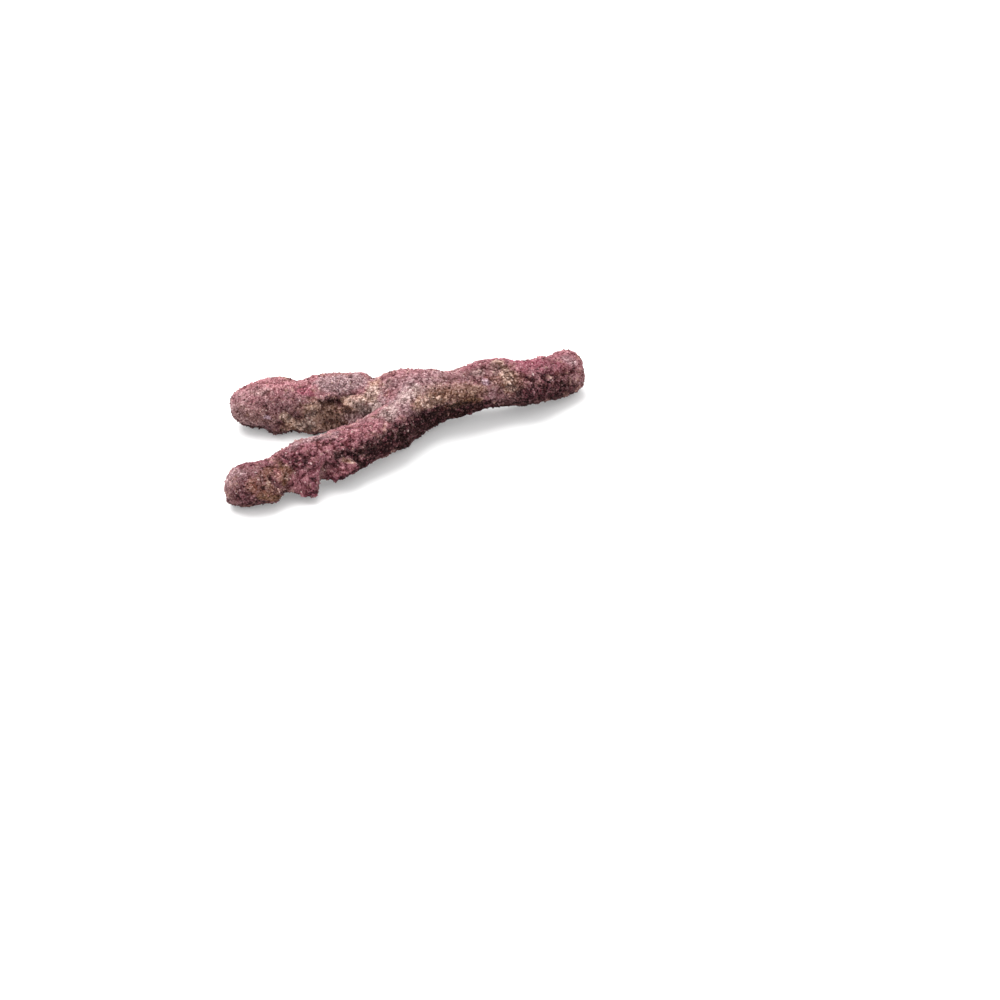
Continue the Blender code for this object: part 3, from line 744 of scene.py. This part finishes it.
def parting_planes(paths):
    """For each limb, the half angles to its neighbours on the left and right, and its bearing."""
    found = {}
    for name, path in paths.items():
        away = np.linalg.norm(path[:, :2] - path[0, :2], axis=1)
        x, y = (np.interp(SIDE_REACH, away, path[:, axis]) - path[0, axis] for axis in (0, 1))
        found[name] = math.atan2(y, x) % math.tau
    order = sorted(found, key=found.get)
    planes = {}
    for place, name in enumerate(order):
        left, right = order[(place + 1) % len(order)], order[place - 1]
        to_left = (found[left] - found[name]) % math.tau / 2
        to_right = (found[name] - found[right]) % math.tau / 2
        planes[name] = (to_left, to_right, found[name])
    return planes


def coarse_skin(name, paths, planes):
    """The limb's smooth skin as rows of points, each where a ray meets the rock's surface.

    Its rim lies on the parting planes, its rings go round its spine, and more rings go over its tip.
    """
    path = paths[name]
    columns = COARSE_COLUMNS
    along = np.r_[0, np.cumsum(np.linalg.norm(np.diff(path[:, :3], axis=0), axis=1))]
    tangents = np.gradient(path[:, :3], along, axis=0)
    turn = np.arange(columns) * math.tau / columns
    to_left, to_right, bearing = planes[name]

    def spine(distance):
        place = np.stack([np.interp(distance, along, path[:, k]) for k in range(3)], -1)
        ahead = np.stack([np.interp(distance, along, tangents[:, k]) for k in range(3)], -1)
        ahead /= np.linalg.norm(ahead, axis=-1, keepdims=True)
        left = np.cross((0, 0, 1), ahead)
        left /= np.linalg.norm(left, axis=-1, keepdims=True)
        return place, ahead, left, np.cross(ahead, left)

    on_left = np.cos(turn) > 0
    half = np.where(on_left, to_left, to_right)
    side = np.where(on_left, bearing + to_left, bearing - to_right)
    level = np.stack([np.cos(side), np.sin(side), np.zeros(columns)], 1) * np.abs(np.cos(turn))[:, None]
    rim_way = level + np.outer(np.sin(half) * np.sin(turn), (0, 0, 1))
    rim_way /= np.linalg.norm(rim_way, axis=1, keepdims=True)
    rim = carried_out(np.repeat(path[:1, :3], columns, 0), rim_way, paths)
    dense = np.linspace(0, along[-1], SPINE_SAMPLES)
    gaps = np.linalg.norm(rim[:, None] - spine(dense)[0][None], axis=2)
    rim_along = dense[np.argmin(gaps, axis=1)]
    leaning = rim - spine(rim_along)[0]
    leaning /= np.linalg.norm(leaning, axis=1, keepdims=True)
    origins, ways = [], []
    for row in range(1, COARSE_TUBE_ROWS + 1):
        share = row / COARSE_TUBE_ROWS
        place, _, left, up = spine(rim_along + (along[-1] - rim_along) * share)
        ring = np.cos(turn)[:, None] * left + np.sin(turn)[:, None] * up
        ease = min(share / TURNING_SHARE, 1)
        origins.append(place)
        ways.append((1 - ease) * leaning + ease * ring)
    place, ahead, left, up = spine(np.full(columns, along[-1]))
    ring = np.cos(turn)[:, None] * left + np.sin(turn)[:, None] * up
    for row in range(1, COARSE_CAP_ROWS + 1):
        lift = row / COARSE_CAP_ROWS * math.pi / 2
        origins.append(place)
        ways.append(math.cos(lift) * ring + math.sin(lift) * ahead)
    ways = np.concatenate(ways)
    ways /= np.linalg.norm(ways, axis=1, keepdims=True)
    skin = carried_out(np.concatenate(origins), ways, paths).reshape(-1, columns, 3)
    return np.concatenate([rim[None], skin])


def resampled(grid, rows, columns):
    """A grid of values at more rows and columns, by straight lines between neighbours and over the seam."""
    row = np.linspace(0, len(grid) - 1, rows)
    low = np.minimum(row.astype(int), len(grid) - 2)
    grid = grid[low] + (row - low)[:, None, None] * (grid[low + 1] - grid[low])
    column = np.arange(columns) * grid.shape[1] / columns
    low = column.astype(int)
    high = (low + 1) % grid.shape[1]
    return grid[:, low] + (column - low)[:, None] * (grid[:, high] - grid[:, low])


def run_shape(points, stations, half_width, seed):
    """1 on a run of stations and 0 past its half width, with a soft S between and a ragged edge."""
    run = np.array([(*station, 0) for station in stations], float)
    edges = enumerate(EDGE_NOISES)
    ragged = sum(share * lattice_noise(points / spacing, seed + order) for order, (share, spacing) in edges)
    return smooth_step(1, 0.05, run_distance(points, run) / half_width + ragged)


def carved(points):
    """The height of the named bumps less the depth of the named folds, and how dark their painted shade is.
    """
    height = np.zeros(len(points))
    dark = np.zeros(len(points))
    uneven = 1 + 0.5 * noise(points, "uneven")
    for rise, half_width, stations in BUMPS:
        height += rise * uneven * run_shape(points, stations, half_width, BUMP_SEED)
    for depth, half_width, shade, stations in FOLDS:
        shape = uneven * run_shape(points, stations, half_width, FOLD_SEED)
        height -= depth * shape
        dark = np.maximum(dark, shade * shape)
    return height, dark


def domes(points, spacing, name):
    """Round domes on scattered centres, each as high as its own value lets it be, and that value."""
    width, rarity, seed = DOMES[name]
    first, value = nearest_centres(points * MM / spacing, seed)
    return np.clip(1 - (first / width) ** 2, 0, 1) * smooth_step(rarity, 1, value), value


def crust_height(points, crust):
    """How far the crust stands out, how deep in a hollow that is, its grain's value and how mottled it is.

    Swells, lumps and grains are domes round scattered centres, some of them missing, and scoops are domes
    turned inwards. Pits are narrow cups at those centres of a wider scatter whose own value is high, and
    clefts are grooves that wind along where a noise changes its sign, most of both where the rock is pitted.
    All but the swells and scoops are lower where the crust is calm. A point is in a hollow as far as it is
    low or in a fold, and the colour is later darkened there as painted shade.
    """
    bent = drifted(points, "bent")
    wavy = drifted(points, "wavy")
    swells, _ = domes(wavy, crust.swell_spacing, "swell")
    scoops, _ = domes(wavy, crust.swell_spacing * SCOOP_SPACING_SHARE, "scoop")
    lumps, _ = domes(bent, crust.lump_spacing, "lump")
    grains, grain_value = domes(bent, crust.grain_spacing, "grain")
    pit, pit_value = nearest_centres(bent * MM / crust.pit_spacing, PIT_SEED)
    pitted = 0.5 * smooth_step(0.1, 0.5, noise(points, "pitted"))
    mottled = np.zeros(len(points))
    for half_width, share, stations in PITTED:
        near = run_shape(points, stations, half_width, PITTED_SEED)
        pitted = np.maximum(pitted, near)
        mottled = np.maximum(mottled, share * near)
    pits = smooth_step(0.74, 0.9, pit_value + 0.35 * pitted) * (1 - smooth_step(*PIT_EDGE, pit))
    clefts = smooth_step(0.26, 0.04, np.abs(noise(bent, "cleft"))) * (0.2 + 0.8 * pitted)
    height, dark = carved(points)
    large = (swells - 0.3) * crust.swell_height - scoops * crust.scoop_depth
    fine = (lumps - 0.35) * crust.lump_height * (1 + 0.6 * pitted) - pits * crust.pit_depth
    fine = (fine + (grains - 0.3) * crust.grain_height - clefts * crust.cleft_depth) / MM
    for half_width, stations in CALM:
        fine *= 1 - CALM_SHARE * run_shape(points, stations, half_width, CALM_SEED)
    hollow = np.clip(0.3 - (0.75 + 0.3 * pitted) * fine + 0.2 * scoops, 0, 1)
    return height + large / MM + fine, np.maximum(hollow, 0.9 * dark), grain_value, mottled


def mixed(first, second, share):
    """The first colour with a share of the second in its place, point by point."""
    return first + (second - first) * share[:, None]


def palette(colours):
    """Each colour of the property group, as light."""
    return {key: linear(getattr(colours, key)) for key in ReefRockColours.__annotations__}


def lit(colour, light):
    """The colour made lighter or darker.

    It changes by a share of itself and by a share of its own grey, and when it gets lighter also by a little
    of an even colour. The change is wider where the colour is dark, and it leaves at least the darkest share.
    """
    grey = (colour @ GREY_WEIGHTS)[:, None]
    spread = 1 + DARK_SPREAD * (1 - np.clip(grey / BRIGHT_GROUND, 0, 1))
    change = (light - 1)[:, None] * spread
    share = np.where(change > 0, LIGHT_OWN_SHARE, DARK_OWN_SHARE)
    even = np.where(change > 0, EVEN_CHANGE, 0)
    changed = colour + change * (share * colour + (1 - share) * grey + even)
    return np.clip(changed, DARKEST_SHARE * colour, 1)


def crust_colour(points, normals, hollow, grain_value, mottled, colours):
    """The crust's colour at each point.

    It starts mauve and turns rose on what faces up. More colours grow where wide, broad and ragged noises are
    high or low, less so on the near side, and the named patches with ragged edges lie over them, many of them
    painted shade or painted light. What faces down turns brown, partly as painted shade. Mottled places turn
    brown and tan by turns, and dark places get magenta clumps. Some cemented grains have colours of their
    own, mauve is sprinkled on, and pale specks lie where it faces up and out of hollows, partly as painted
    highlight. Last, it gets lighter or darker by its grain and its specks, and, as painted light and shade,
    by the way it faces and how deep in a hollow or fold it is.
    """
    shade = palette(colours)
    broad = noise(points, "broad")
    wide = noise(points, "wide")
    ragged = noise(points, "ragged") + 0.6 * noise(points, "finely_ragged")
    up = normals[:, 2] + 0.12 * ragged
    free = 0.35 + 0.65 * smooth_step(0, 0.6, normals[:, 1])
    colour = np.repeat(shade["mauve"][None], len(points), 0)
    grown = (
        ("rose", smooth_step(0.1, 0.9, up + 0.35 * broad) * 0.65),
        ("magenta", smooth_step(0.15, 0.6, -wide + 0.2 * ragged) * 0.6 * free),
        ("lavender", smooth_step(0.15, 0.6, wide + 0.2 * ragged) * 0.6 * free),
        ("ochre", smooth_step(0.3, 0.7, broad + 0.2 * ragged) * 0.7 * free),
        ("tan", smooth_step(0.35, 0.9, ragged - 0.3 * broad) * 0.4),
        ("lavender", smooth_step(0.4, 0.9, -ragged + 0.4 * broad) * 0.4),
    )
    for key, share in grown:
        colour = mixed(colour, shade[key], share)
    for key, strength, soft, stations in PATCHES:
        near = run_distance(points, np.array(stations, float)) / soft
        colour = mixed(colour, shade[key], strength * smooth_step(0.6, -0.6, near + 0.45 * ragged))
    # Painted shade, partly the underside's own dark colour: what faces down turns brown.
    colour = mixed(colour, shade["brown"], smooth_step(-0.3, -0.9, up) * 0.85)
    mottle = noise(points, "mottle") + 0.5 * noise(points, "fine_mottle")
    colour = mixed(colour, shade["brown"], smooth_step(0.15, 0.7, mottle) * 0.35 * mottled)
    colour = mixed(colour, shade["tan"], smooth_step(0.05, 0.6, -mottle) * 0.45 * mottled)
    clumps = smooth_step(0.1, 0.7, noise(points, "clump") + 0.5 * noise(points, "fine_clump"))
    dark = 1 - np.clip(colour @ GREY_WEIGHTS / BRIGHT_GROUND, 0, 1)
    colour = mixed(colour, shade["magenta"], 0.45 * clumps * dark)
    for middle, key in CEMENTED_COLOURS:
        own = smooth_step(0.06, 0.03, np.abs(grain_value - middle))
        colour = mixed(colour, shade[key], 0.16 * own * smooth_step(-0.3, 0.3, up))
    colour = mixed(colour, shade["mauve"], 0.16 * smooth_step(0.3, 0.7, noise(points, "sprinkle")))
    # Pale specks only where the crust faces up and lies out of hollows: partly pale grains, partly painted
    # highlight.
    speck = noise(points, "speck")
    lit_pale_specks = smooth_step(0.5, 0.8, speck) * 0.3 * (1 - hollow) * smooth_step(-0.4, 0.4, up)
    colour = mixed(colour, shade["pale"], lit_pale_specks)
    # Painted shade: the crust is darker where it faces sideways or down, and where it lies deep in a hollow
    # or fold, and lighter out of them.
    painted_facing_shade = 1 - FACING_PAINTED_SHADE + FACING_PAINTED_SHADE * smooth_step(-0.2, 0.75, up)
    light = (BASE_LIGHT + GRAIN_LIGHT * grain_value + SPECK_LIGHT * speck) * painted_facing_shade
    return lit(colour, light * (PAINTED_LIGHT_OUT_OF_HOLLOWS - HOLLOW_PAINTED_SHADE * smooth_step(0.2, 1.0, hollow)))


def put_mesh(name, points, triangles, places, colours):
    """A mesh piece from arrays, in metres in the part's frame, with its map and its colour at each vertex."""
    mesh = bpy.data.meshes.new(name)
    mesh.vertices.add(len(points))
    mesh.vertices.foreach_set("co", ((points - MIDDLE) * MM).astype(np.float32).ravel())
    mesh.loops.add(triangles.size)
    mesh.loops.foreach_set("vertex_index", triangles.astype(np.int32).ravel())
    mesh.polygons.add(len(triangles))
    mesh.polygons.foreach_set("loop_start", np.arange(0, triangles.size, 3, dtype=np.int32))
    mesh.update(calc_edges=True)
    mesh.shade_smooth()
    layer = mesh.uv_layers.new(name="OFBake")
    layer.uv.foreach_set("vector", places.astype(np.float32).ravel())
    kept = mesh.color_attributes.new(name="crust_colour", type="FLOAT_COLOR", domain="POINT")
    full = np.ones((len(points), 4), np.float32)
    full[:, :3] = colours
    kept.data.foreach_set("color", full.ravel())
    mesh.validate()
    piece = bpy.data.objects.new(name, mesh)
    bpy.context.scene.collection.objects.link(piece)
    return piece


def held_in_box(points):
    """Points outside the solids' box moved to its nearest side."""
    low, high = (np.array(corner) / MM + MIDDLE for corner in CAD_BOX)
    return np.clip(points, low, high)


def skin_faces(rows, columns):
    """The triangles of a skin of rings, and each corner's place on its map.

    Two triangles lie between each pair of neighbours in two rings. A fan closes the last ring over the limb's
    tip, and another closes the first over the fork's middle. The tip and the middle are the last two points.
    """
    row, column = (index.ravel() for index in np.mgrid[0 : rows - 1, 0:columns])
    a, b = row * columns + column, row * columns + (column + 1) % columns
    c, d = b + columns, a + columns
    ring = np.arange(columns)
    beside = (ring + 1) % columns
    last = (rows - 1) * columns
    tip, middle = (np.full(columns, rows * columns + order) for order in (0, 1))
    triangles = [(a, b, c), (a, c, d), (last + ring, last + beside, tip), (beside, ring, middle)]
    u, v = column / columns, MAP_START + MAP_SPAN * row / rows
    step_u, step_v = 1 / columns, MAP_SPAN / rows
    left, right = ring / columns, (ring + 1) / columns
    centre = left + step_u / 2
    start, top, end, pole = (
        np.full(columns, value) for value in (MAP_START, MAP_START + MAP_SPAN * (rows - 1) / rows, MAP_TIP, 0)
    )
    places = [
        (u, v, u + step_u, v, u + step_u, v + step_v),
        (u, v, u + step_u, v + step_v, u, v + step_v),
        (left, top, right, top, centre, end),
        (right, start, left, start, centre, pole),
    ]
    return [np.concatenate([np.stack(corners, 1) for corners in kinds]) for kinds in (triangles, places)]


def limb_surface(name, crust, colours, paths, planes):
    """A limb's crusted skin, closed at its tip by a fan and at the fork by a fan to the fork's middle.

    The smooth skin is resampled finely, then each point moves along its normal by the crust's height.
    """
    coarse = coarse_skin(name, paths, planes)
    normals = outward(coarse.reshape(-1, 3), paths).reshape(coarse.shape)
    skin = resampled(coarse, FINE_ROWS, FINE_COLUMNS)[:-1].reshape(-1, 3)
    normals = resampled(normals, FINE_ROWS, FINE_COLUMNS)[:-1].reshape(-1, 3)
    normals /= np.linalg.norm(normals, axis=1, keepdims=True)
    skin = np.vstack([skin, coarse[-1, 0]])
    normals = np.vstack([normals, normals[-FINE_COLUMNS:].mean(0)])
    height, hollow, grain_value, mottled = crust_height(skin, crust)
    colour = crust_colour(skin, normals, hollow, grain_value, mottled, colours)
    skin = held_in_box(skin + normals * (height - crust.inset / MM)[:, None])
    points = np.vstack([skin, paths[name][:1, :3]])
    colour = np.vstack([colour, colour[:1]])
    triangles, places = skin_faces(FINE_ROWS - 1, FINE_COLUMNS)
    return put_mesh(name + "_crust", points, triangles, places, colour)


def ball_of_twenty():
    """The points and faces of a regular twenty-sided ball, of radius 1."""
    golden = (1 + math.sqrt(5)) / 2
    flat = [(-1, golden, 0), (1, golden, 0), (-1, -golden, 0), (1, -golden, 0)]
    points = np.array(flat + [(z, x, y) for x, y, z in flat] + [(y, z, x) for x, y, z in flat], float)
    points /= np.linalg.norm(points[0])
    gap = np.linalg.norm(points[:, None] - points[None], axis=2)
    close = (gap > 0.1) & (gap < 1.2)
    faces = []
    for i, j, k in np.ndindex(12, 12, 12):
        if i < j < k and close[i, j] and close[j, k] and close[i, k]:
            turned = np.linalg.det(points[[i, j, k]]) > 0
            faces.append((i, j, k) if turned else (i, k, j))
    return points, np.array(faces)


def turns(four):
    """Turning matrices from rows of four numbers of length 1, w, x, y and z, by the quaternion's formula."""
    w, x, y, z = four.T
    return np.stack(
        [
            *(1 - 2 * (y * y + z * z), 2 * (x * y - w * z), 2 * (x * z + w * y)),
            *(2 * (x * y + w * z), 1 - 2 * (x * x + z * z), 2 * (y * z - w * x)),
            *(2 * (x * z - w * y), 2 * (y * z + w * x), 1 - 2 * (x * x + y * y)),
        ],
        1,
    ).reshape(-1, 3, 3)


def grain_colours(under, random, colours):
    """Each grain's colour: the crust's under it, brighter or darker, and some nearer to another colour."""
    count = len(under)
    shade = palette(colours)
    ground = np.clip(under @ GREY_WEIGHTS / BRIGHT_GROUND, 0, 1) ** 2
    own = lit(under, random.uniform(0.75, 1.45, count))
    share = random.random(count)
    own = mixed(own, shade["mauve"], 0.25 * share**2 * ground + 0.35 * share**4 * (1 - ground))
    lot = random.random(count)
    own = mixed(own, shade["pale"], (lot < STREWN_PALE) * random.uniform(0.5, 0.95, count) * ground)
    for low, high, key in STREWN_COLOURS:
        own = mixed(own, shade[key], ((lot > low) & (lot < high)) * 0.35 * ground)
    low, high = STREWN_DARK
    return np.where(((lot > low) & (lot < high))[:, None], own * 0.6, own)


def limb_grains(name, grains, colours):
    """Separate grains on a limb's crust: twenty-sided balls, jittered, stretched, turned and partly sunk.

    They are dropped at points taken at random from the crust's faces by area, fewer where a noise is low, and
    none just above the floor.
    """
    crust = bpy.data.objects[name + "_crust"].data
    random = np.random.default_rng(grains.seed + len(name))
    points = np.empty(len(crust.vertices) * 3, np.float32)
    crust.vertices.foreach_get("co", points)
    points = points.reshape(-1, 3).astype(float) / MM + MIDDLE
    colour = np.empty(len(crust.vertices) * 4, np.float32)
    crust.color_attributes["crust_colour"].data.foreach_get("color", colour)
    colour = colour.reshape(-1, 4)[:, :3].astype(float)
    faces = np.empty(len(crust.polygons) * 3, np.int32)
    crust.loops.foreach_get("vertex_index", faces)
    faces = faces.reshape(-1, 3)[:-FINE_COLUMNS]
    corners = points[faces]
    cross = np.cross(corners[:, 1] - corners[:, 0], corners[:, 2] - corners[:, 0])
    area = np.linalg.norm(cross, axis=1)
    middle = corners.mean(1)
    keep = area * smooth_step(-0.9, 0.3, noise(middle, "strewn")) * (middle[:, 2] > GRAIN_CLEARANCE)
    count = grains.number
    chosen = random.choice(len(faces), count, p=keep / keep.sum())
    normal = cross[chosen] / area[chosen, None]
    smallest, largest = grains.smallest / MM, grains.largest / MM
    radius = smallest + (largest - smallest) * random.random(count) ** 2.2
    centre = middle[chosen] + normal * (radius * random.uniform(-0.25, 0.45, count))[:, None]

    ball, sides = ball_of_twenty()
    jitter = random.uniform(0.72, 1.2, (count, GRAIN_POINTS, 1))
    shape = ball[None] * jitter * random.uniform(0.7, 1.3, (count, 1, 3))
    turn = random.normal(size=(count, 4))
    turn /= np.linalg.norm(turn, axis=1, keepdims=True)
    placed = np.einsum("nij,nkj->nki", turns(turn), shape) * radius[:, None, None] + centre[:, None]
    own = grain_colours(colour[faces[chosen, 0]], random, colours)

    triangles = (sides[None] + (np.arange(count) * GRAIN_POINTS)[:, None, None]).reshape(-1, 3)
    across = math.ceil(math.sqrt(count))
    cell = np.stack([np.arange(count) % across, np.arange(count) // across], 1)
    places = np.repeat(((cell[:, None] + GRAIN_MAP[None]) / across)[:, None], len(sides), 1)
    placed = held_in_box(placed).reshape(-1, 3)
    return put_mesh(name + "_grains", placed, triangles, places, np.repeat(own, GRAIN_POINTS, 0))


def add_node(tree, kind, inputs, operation=None):
    """The outputs of a new shader node whose inputs each take a plain value or another node's output."""
    node = tree.nodes.new("ShaderNode" + kind)
    if operation:
        node.operation = operation
    for key, value in inputs.items():
        if isinstance(value, bpy.types.NodeSocket):
            tree.links.new(value, node.inputs[key])
        else:
            node.inputs[key].default_value = value
    return node.outputs


def speckled(tree, colour, speckle, cells):
    """The colour made lighter and darker from speck to speck, much as lit does it from point to point."""
    wide = {"From Min": SPECK_NOISE[0], "From Max": SPECK_NOISE[1]}
    wide.update({"To Min": SPECK_LIGHTS[0], "To Max": SPECK_LIGHTS[1]})
    light = add_node(tree, "MapRange", {"Value": speckle, **wide})["Result"]
    value = add_node(tree, "SeparateColor", {"Color": cells})["Red"]
    own = {"Value": value, "To Min": CELL_LIGHTS[0], "To Max": CELL_LIGHTS[1]}
    own = add_node(tree, "MapRange", own)["Result"]
    light = add_node(tree, "Math", {0: light, 1: own}, "MULTIPLY")["Value"]
    grey = add_node(tree, "RGBToBW", {"Color": colour})["Val"]
    spread = {"Value": grey, "From Max": BRIGHT_GROUND, "To Min": 1 + DARK_SPREAD, "To Max": 1}
    spread = add_node(tree, "MapRange", spread)["Result"]
    change = add_node(tree, "Math", {0: light, 1: 1}, "SUBTRACT")["Value"]
    change = add_node(tree, "Math", {0: change, 1: spread}, "MULTIPLY")["Value"]
    faint = {0: grey, 1: 1 - SPECK_OWN_SHARE, 2: SPECK_EVEN_CHANGE}
    faint = add_node(tree, "Math", faint, "MULTIPLY_ADD")["Value"]
    between = {0: colour, 1: (SPECK_OWN_SHARE,) * 3, 2: faint}
    between = add_node(tree, "VectorMath", between, "MULTIPLY_ADD")["Vector"]
    tint = add_node(tree, "VectorMath", {0: change, 1: between, 2: colour}, "MULTIPLY_ADD")["Vector"]
    darkest = add_node(tree, "VectorMath", {0: colour, "Scale": DARKEST_SHARE}, "SCALE")["Vector"]
    return add_node(tree, "VectorMath", {0: tint, 1: darkest}, "MAXIMUM")["Vector"]


def crust_material(name, speck_size, speck_depth, roughness):
    """Matt crust: the vertices' colour, speckled by fine noise, with uneven roughness and a fine relief."""
    material = bpy.data.materials.new(name)
    material.use_nodes = True
    tree = material.node_tree
    shader = tree.nodes["Principled BSDF"]
    place = add_node(tree, "TexCoord", {})["Object"]
    kept = tree.nodes.new("ShaderNodeAttribute")
    kept.attribute_name = "crust_colour"
    speckle = {"Vector": place, "Scale": 1 / speck_size, "Detail": 3, "Roughness": 0.6}
    speckle = add_node(tree, "TexNoise", speckle)["Fac"]
    cells = add_node(tree, "TexVoronoi", {"Vector": place, "Scale": 1 / speck_size})
    colour = speckled(tree, kept.outputs["Color"], speckle, cells["Color"])
    matt = add_node(tree, "MapRange", {"Value": speckle, "To Min": roughness, "To Max": 1})["Result"]
    relief = {"Vector": place, "Scale": 1 / (speck_size * RELIEF_SHARE), "Detail": 4, "Roughness": 0.65}
    relief = add_node(tree, "TexNoise", relief)["Fac"]
    domed = add_node(tree, "Math", {0: cells["Distance"], 1: -DOME_SHARE, 2: relief}, "MULTIPLY_ADD")["Value"]
    bump = {"Strength": BUMP_STRENGTH, "Distance": speck_depth, "Height": domed}
    bump = add_node(tree, "Bump", bump)["Normal"]
    for key, output in (("Base Color", colour), ("Roughness", matt), ("Normal", bump)):
        tree.links.new(output, shader.inputs[key])
    shader.inputs["Specular IOR Level"].default_value = CRUST_SHINE
    return material


class REEFROCK_OT_limbs(bpy.types.Operator):
    """Makes the crusted skins of the stem and the two prongs, in place of the part's plain solids"""

    bl_idname = "reefrock.limbs"
    bl_label = "Crusted limbs"

    def execute(self, context):
        paths = {name: smooth_path(stations) for name, stations in SPINES.items()}
        planes = parting_planes(paths)
        material = crust_material("reef_crust", *CRUST_SPECKS)
        for name in SPINES:
            piece = limb_surface(name, context.scene.reef_crust, context.scene.reef_colours, paths, planes)
            piece.data.materials.append(material)
            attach(piece, "root")
            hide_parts(name)
        return {"FINISHED"}


class REEFROCK_OT_grains(bpy.types.Operator):
    """Strews separate grains over the limbs' crusts"""

    bl_idname = "reefrock.grains"
    bl_label = "Grains on the crust"

    def execute(self, context):
        material = crust_material("reef_grains", *GRAIN_SPECKS)
        for name in SPINES:
            piece = limb_grains(name, context.scene.reef_grains, context.scene.reef_colours)
            piece.data.materials.append(material)
            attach(piece, "root")
        return {"FINISHED"}


class REEFROCK_OT_stage(bpy.types.Operator):
    """Makes the pale floor, the soft lights and the camera"""

    bl_idname = "reefrock.stage"
    bl_label = "Floor, lights and camera"

    def execute(self, context):
        stage = context.scene.reef_stage
        half = stage.floor_size / 2
        mesh = bpy.data.meshes.new("floor")
        corners = [(-half, -half, 0), (half, -half, 0), (half, half, 0), (-half, half, 0)]
        mesh.from_pydata(corners, [], [(0, 1, 2, 3)])
        floor = bpy.data.objects.new("floor", mesh)
        context.scene.collection.objects.link(floor)
        paint = bpy.data.materials.new("floor_paint")
        paint.use_nodes = True
        shader = paint.node_tree.nodes["Principled BSDF"]
        shader.inputs["Base Color"].default_value = (*linear(stage.floor_colour), 1)
        shader.inputs["Emission Color"].default_value = (1, 1, 1, 1)
        shader.inputs["Emission Strength"].default_value = stage.floor_glow
        shader.inputs["Roughness"].default_value = FLOOR_ROUGHNESS
        shader.inputs["Specular IOR Level"].default_value = FLOOR_SHINE
        mesh.materials.append(paint)

        self.add_light(context, "key", KEY_PLACE, stage.key_power, stage.key_size)

        sky = bpy.data.worlds.new("even_light")
        sky.use_nodes = True
        sky.node_tree.nodes["Background"].inputs["Color"].default_value = (1, 1, 1, 1)
        sky.node_tree.nodes["Background"].inputs["Strength"].default_value = stage.sky_strength
        context.scene.world = sky

        lens = bpy.data.cameras.new("camera")
        lens.lens = stage.lens
        lens.sensor_width = SENSOR_WIDTH
        lens.clip_start, lens.clip_end = CLIP_RANGE
        camera = bpy.data.objects.new("camera", lens)
        camera.location = CAMERA_PLACE * MM - MIDDLE * MM
        camera.rotation_euler = (math.pi / 2 - stage.pitch, 0, 0)
        context.scene.collection.objects.link(camera)
        context.scene.camera = camera
        context.scene.view_settings.view_transform = "Standard"
        return {"FINISHED"}

    def add_light(self, context, name, place, power, size):
        lamp = bpy.data.lights.new(name, "AREA")
        lamp.shape = "SQUARE"
        lamp.size = size
        lamp.energy = power
        light = bpy.data.objects.new(name, lamp)
        light.location = place
        light.rotation_euler = (-Vector(place)).to_track_quat("-Z", "Y").to_euler()
        context.scene.collection.objects.link(light)


class REEFROCK_PT_panel(bpy.types.Panel):
    """Lists the rock's sizes and colours, and the steps that build it"""

    bl_idname = "REEFROCK_PT_panel"
    bl_label = "Dry reef rock"
    bl_space_type = "VIEW_3D"
    bl_region_type = "UI"
    bl_category = "Reef rock"

    def draw(self, context):
        for operator in OPERATORS:
            self.layout.operator(operator.bl_idname)
        for key, group in GROUPS.items():
            box = self.layout.box()
            for setting in group.__annotations__:
                box.prop(getattr(context.scene, key), setting)


GROUPS = {
    "reef_crust": ReefRockCrust,
    "reef_grains": ReefRockGrains,
    "reef_colours": ReefRockColours,
    "reef_stage": ReefRockStage,
}
OPERATORS = (REEFROCK_OT_limbs, REEFROCK_OT_grains, REEFROCK_OT_stage)


def register():
    for item in (*GROUPS.values(), *OPERATORS, REEFROCK_PT_panel):
        bpy.utils.register_class(item)
    for key, group in GROUPS.items():
        setattr(bpy.types.Scene, key, bpy.props.PointerProperty(type=group))


def unregister():
    for key in GROUPS:
        delattr(bpy.types.Scene, key)
    for item in reversed((*GROUPS.values(), *OPERATORS, REEFROCK_PT_panel)):
        bpy.utils.unregister_class(item)


def main():
    register()
    bpy.ops.reefrock.limbs()
    bpy.ops.reefrock.grains()
    bpy.ops.reefrock.stage()


if __name__ == "__main__":
    main()
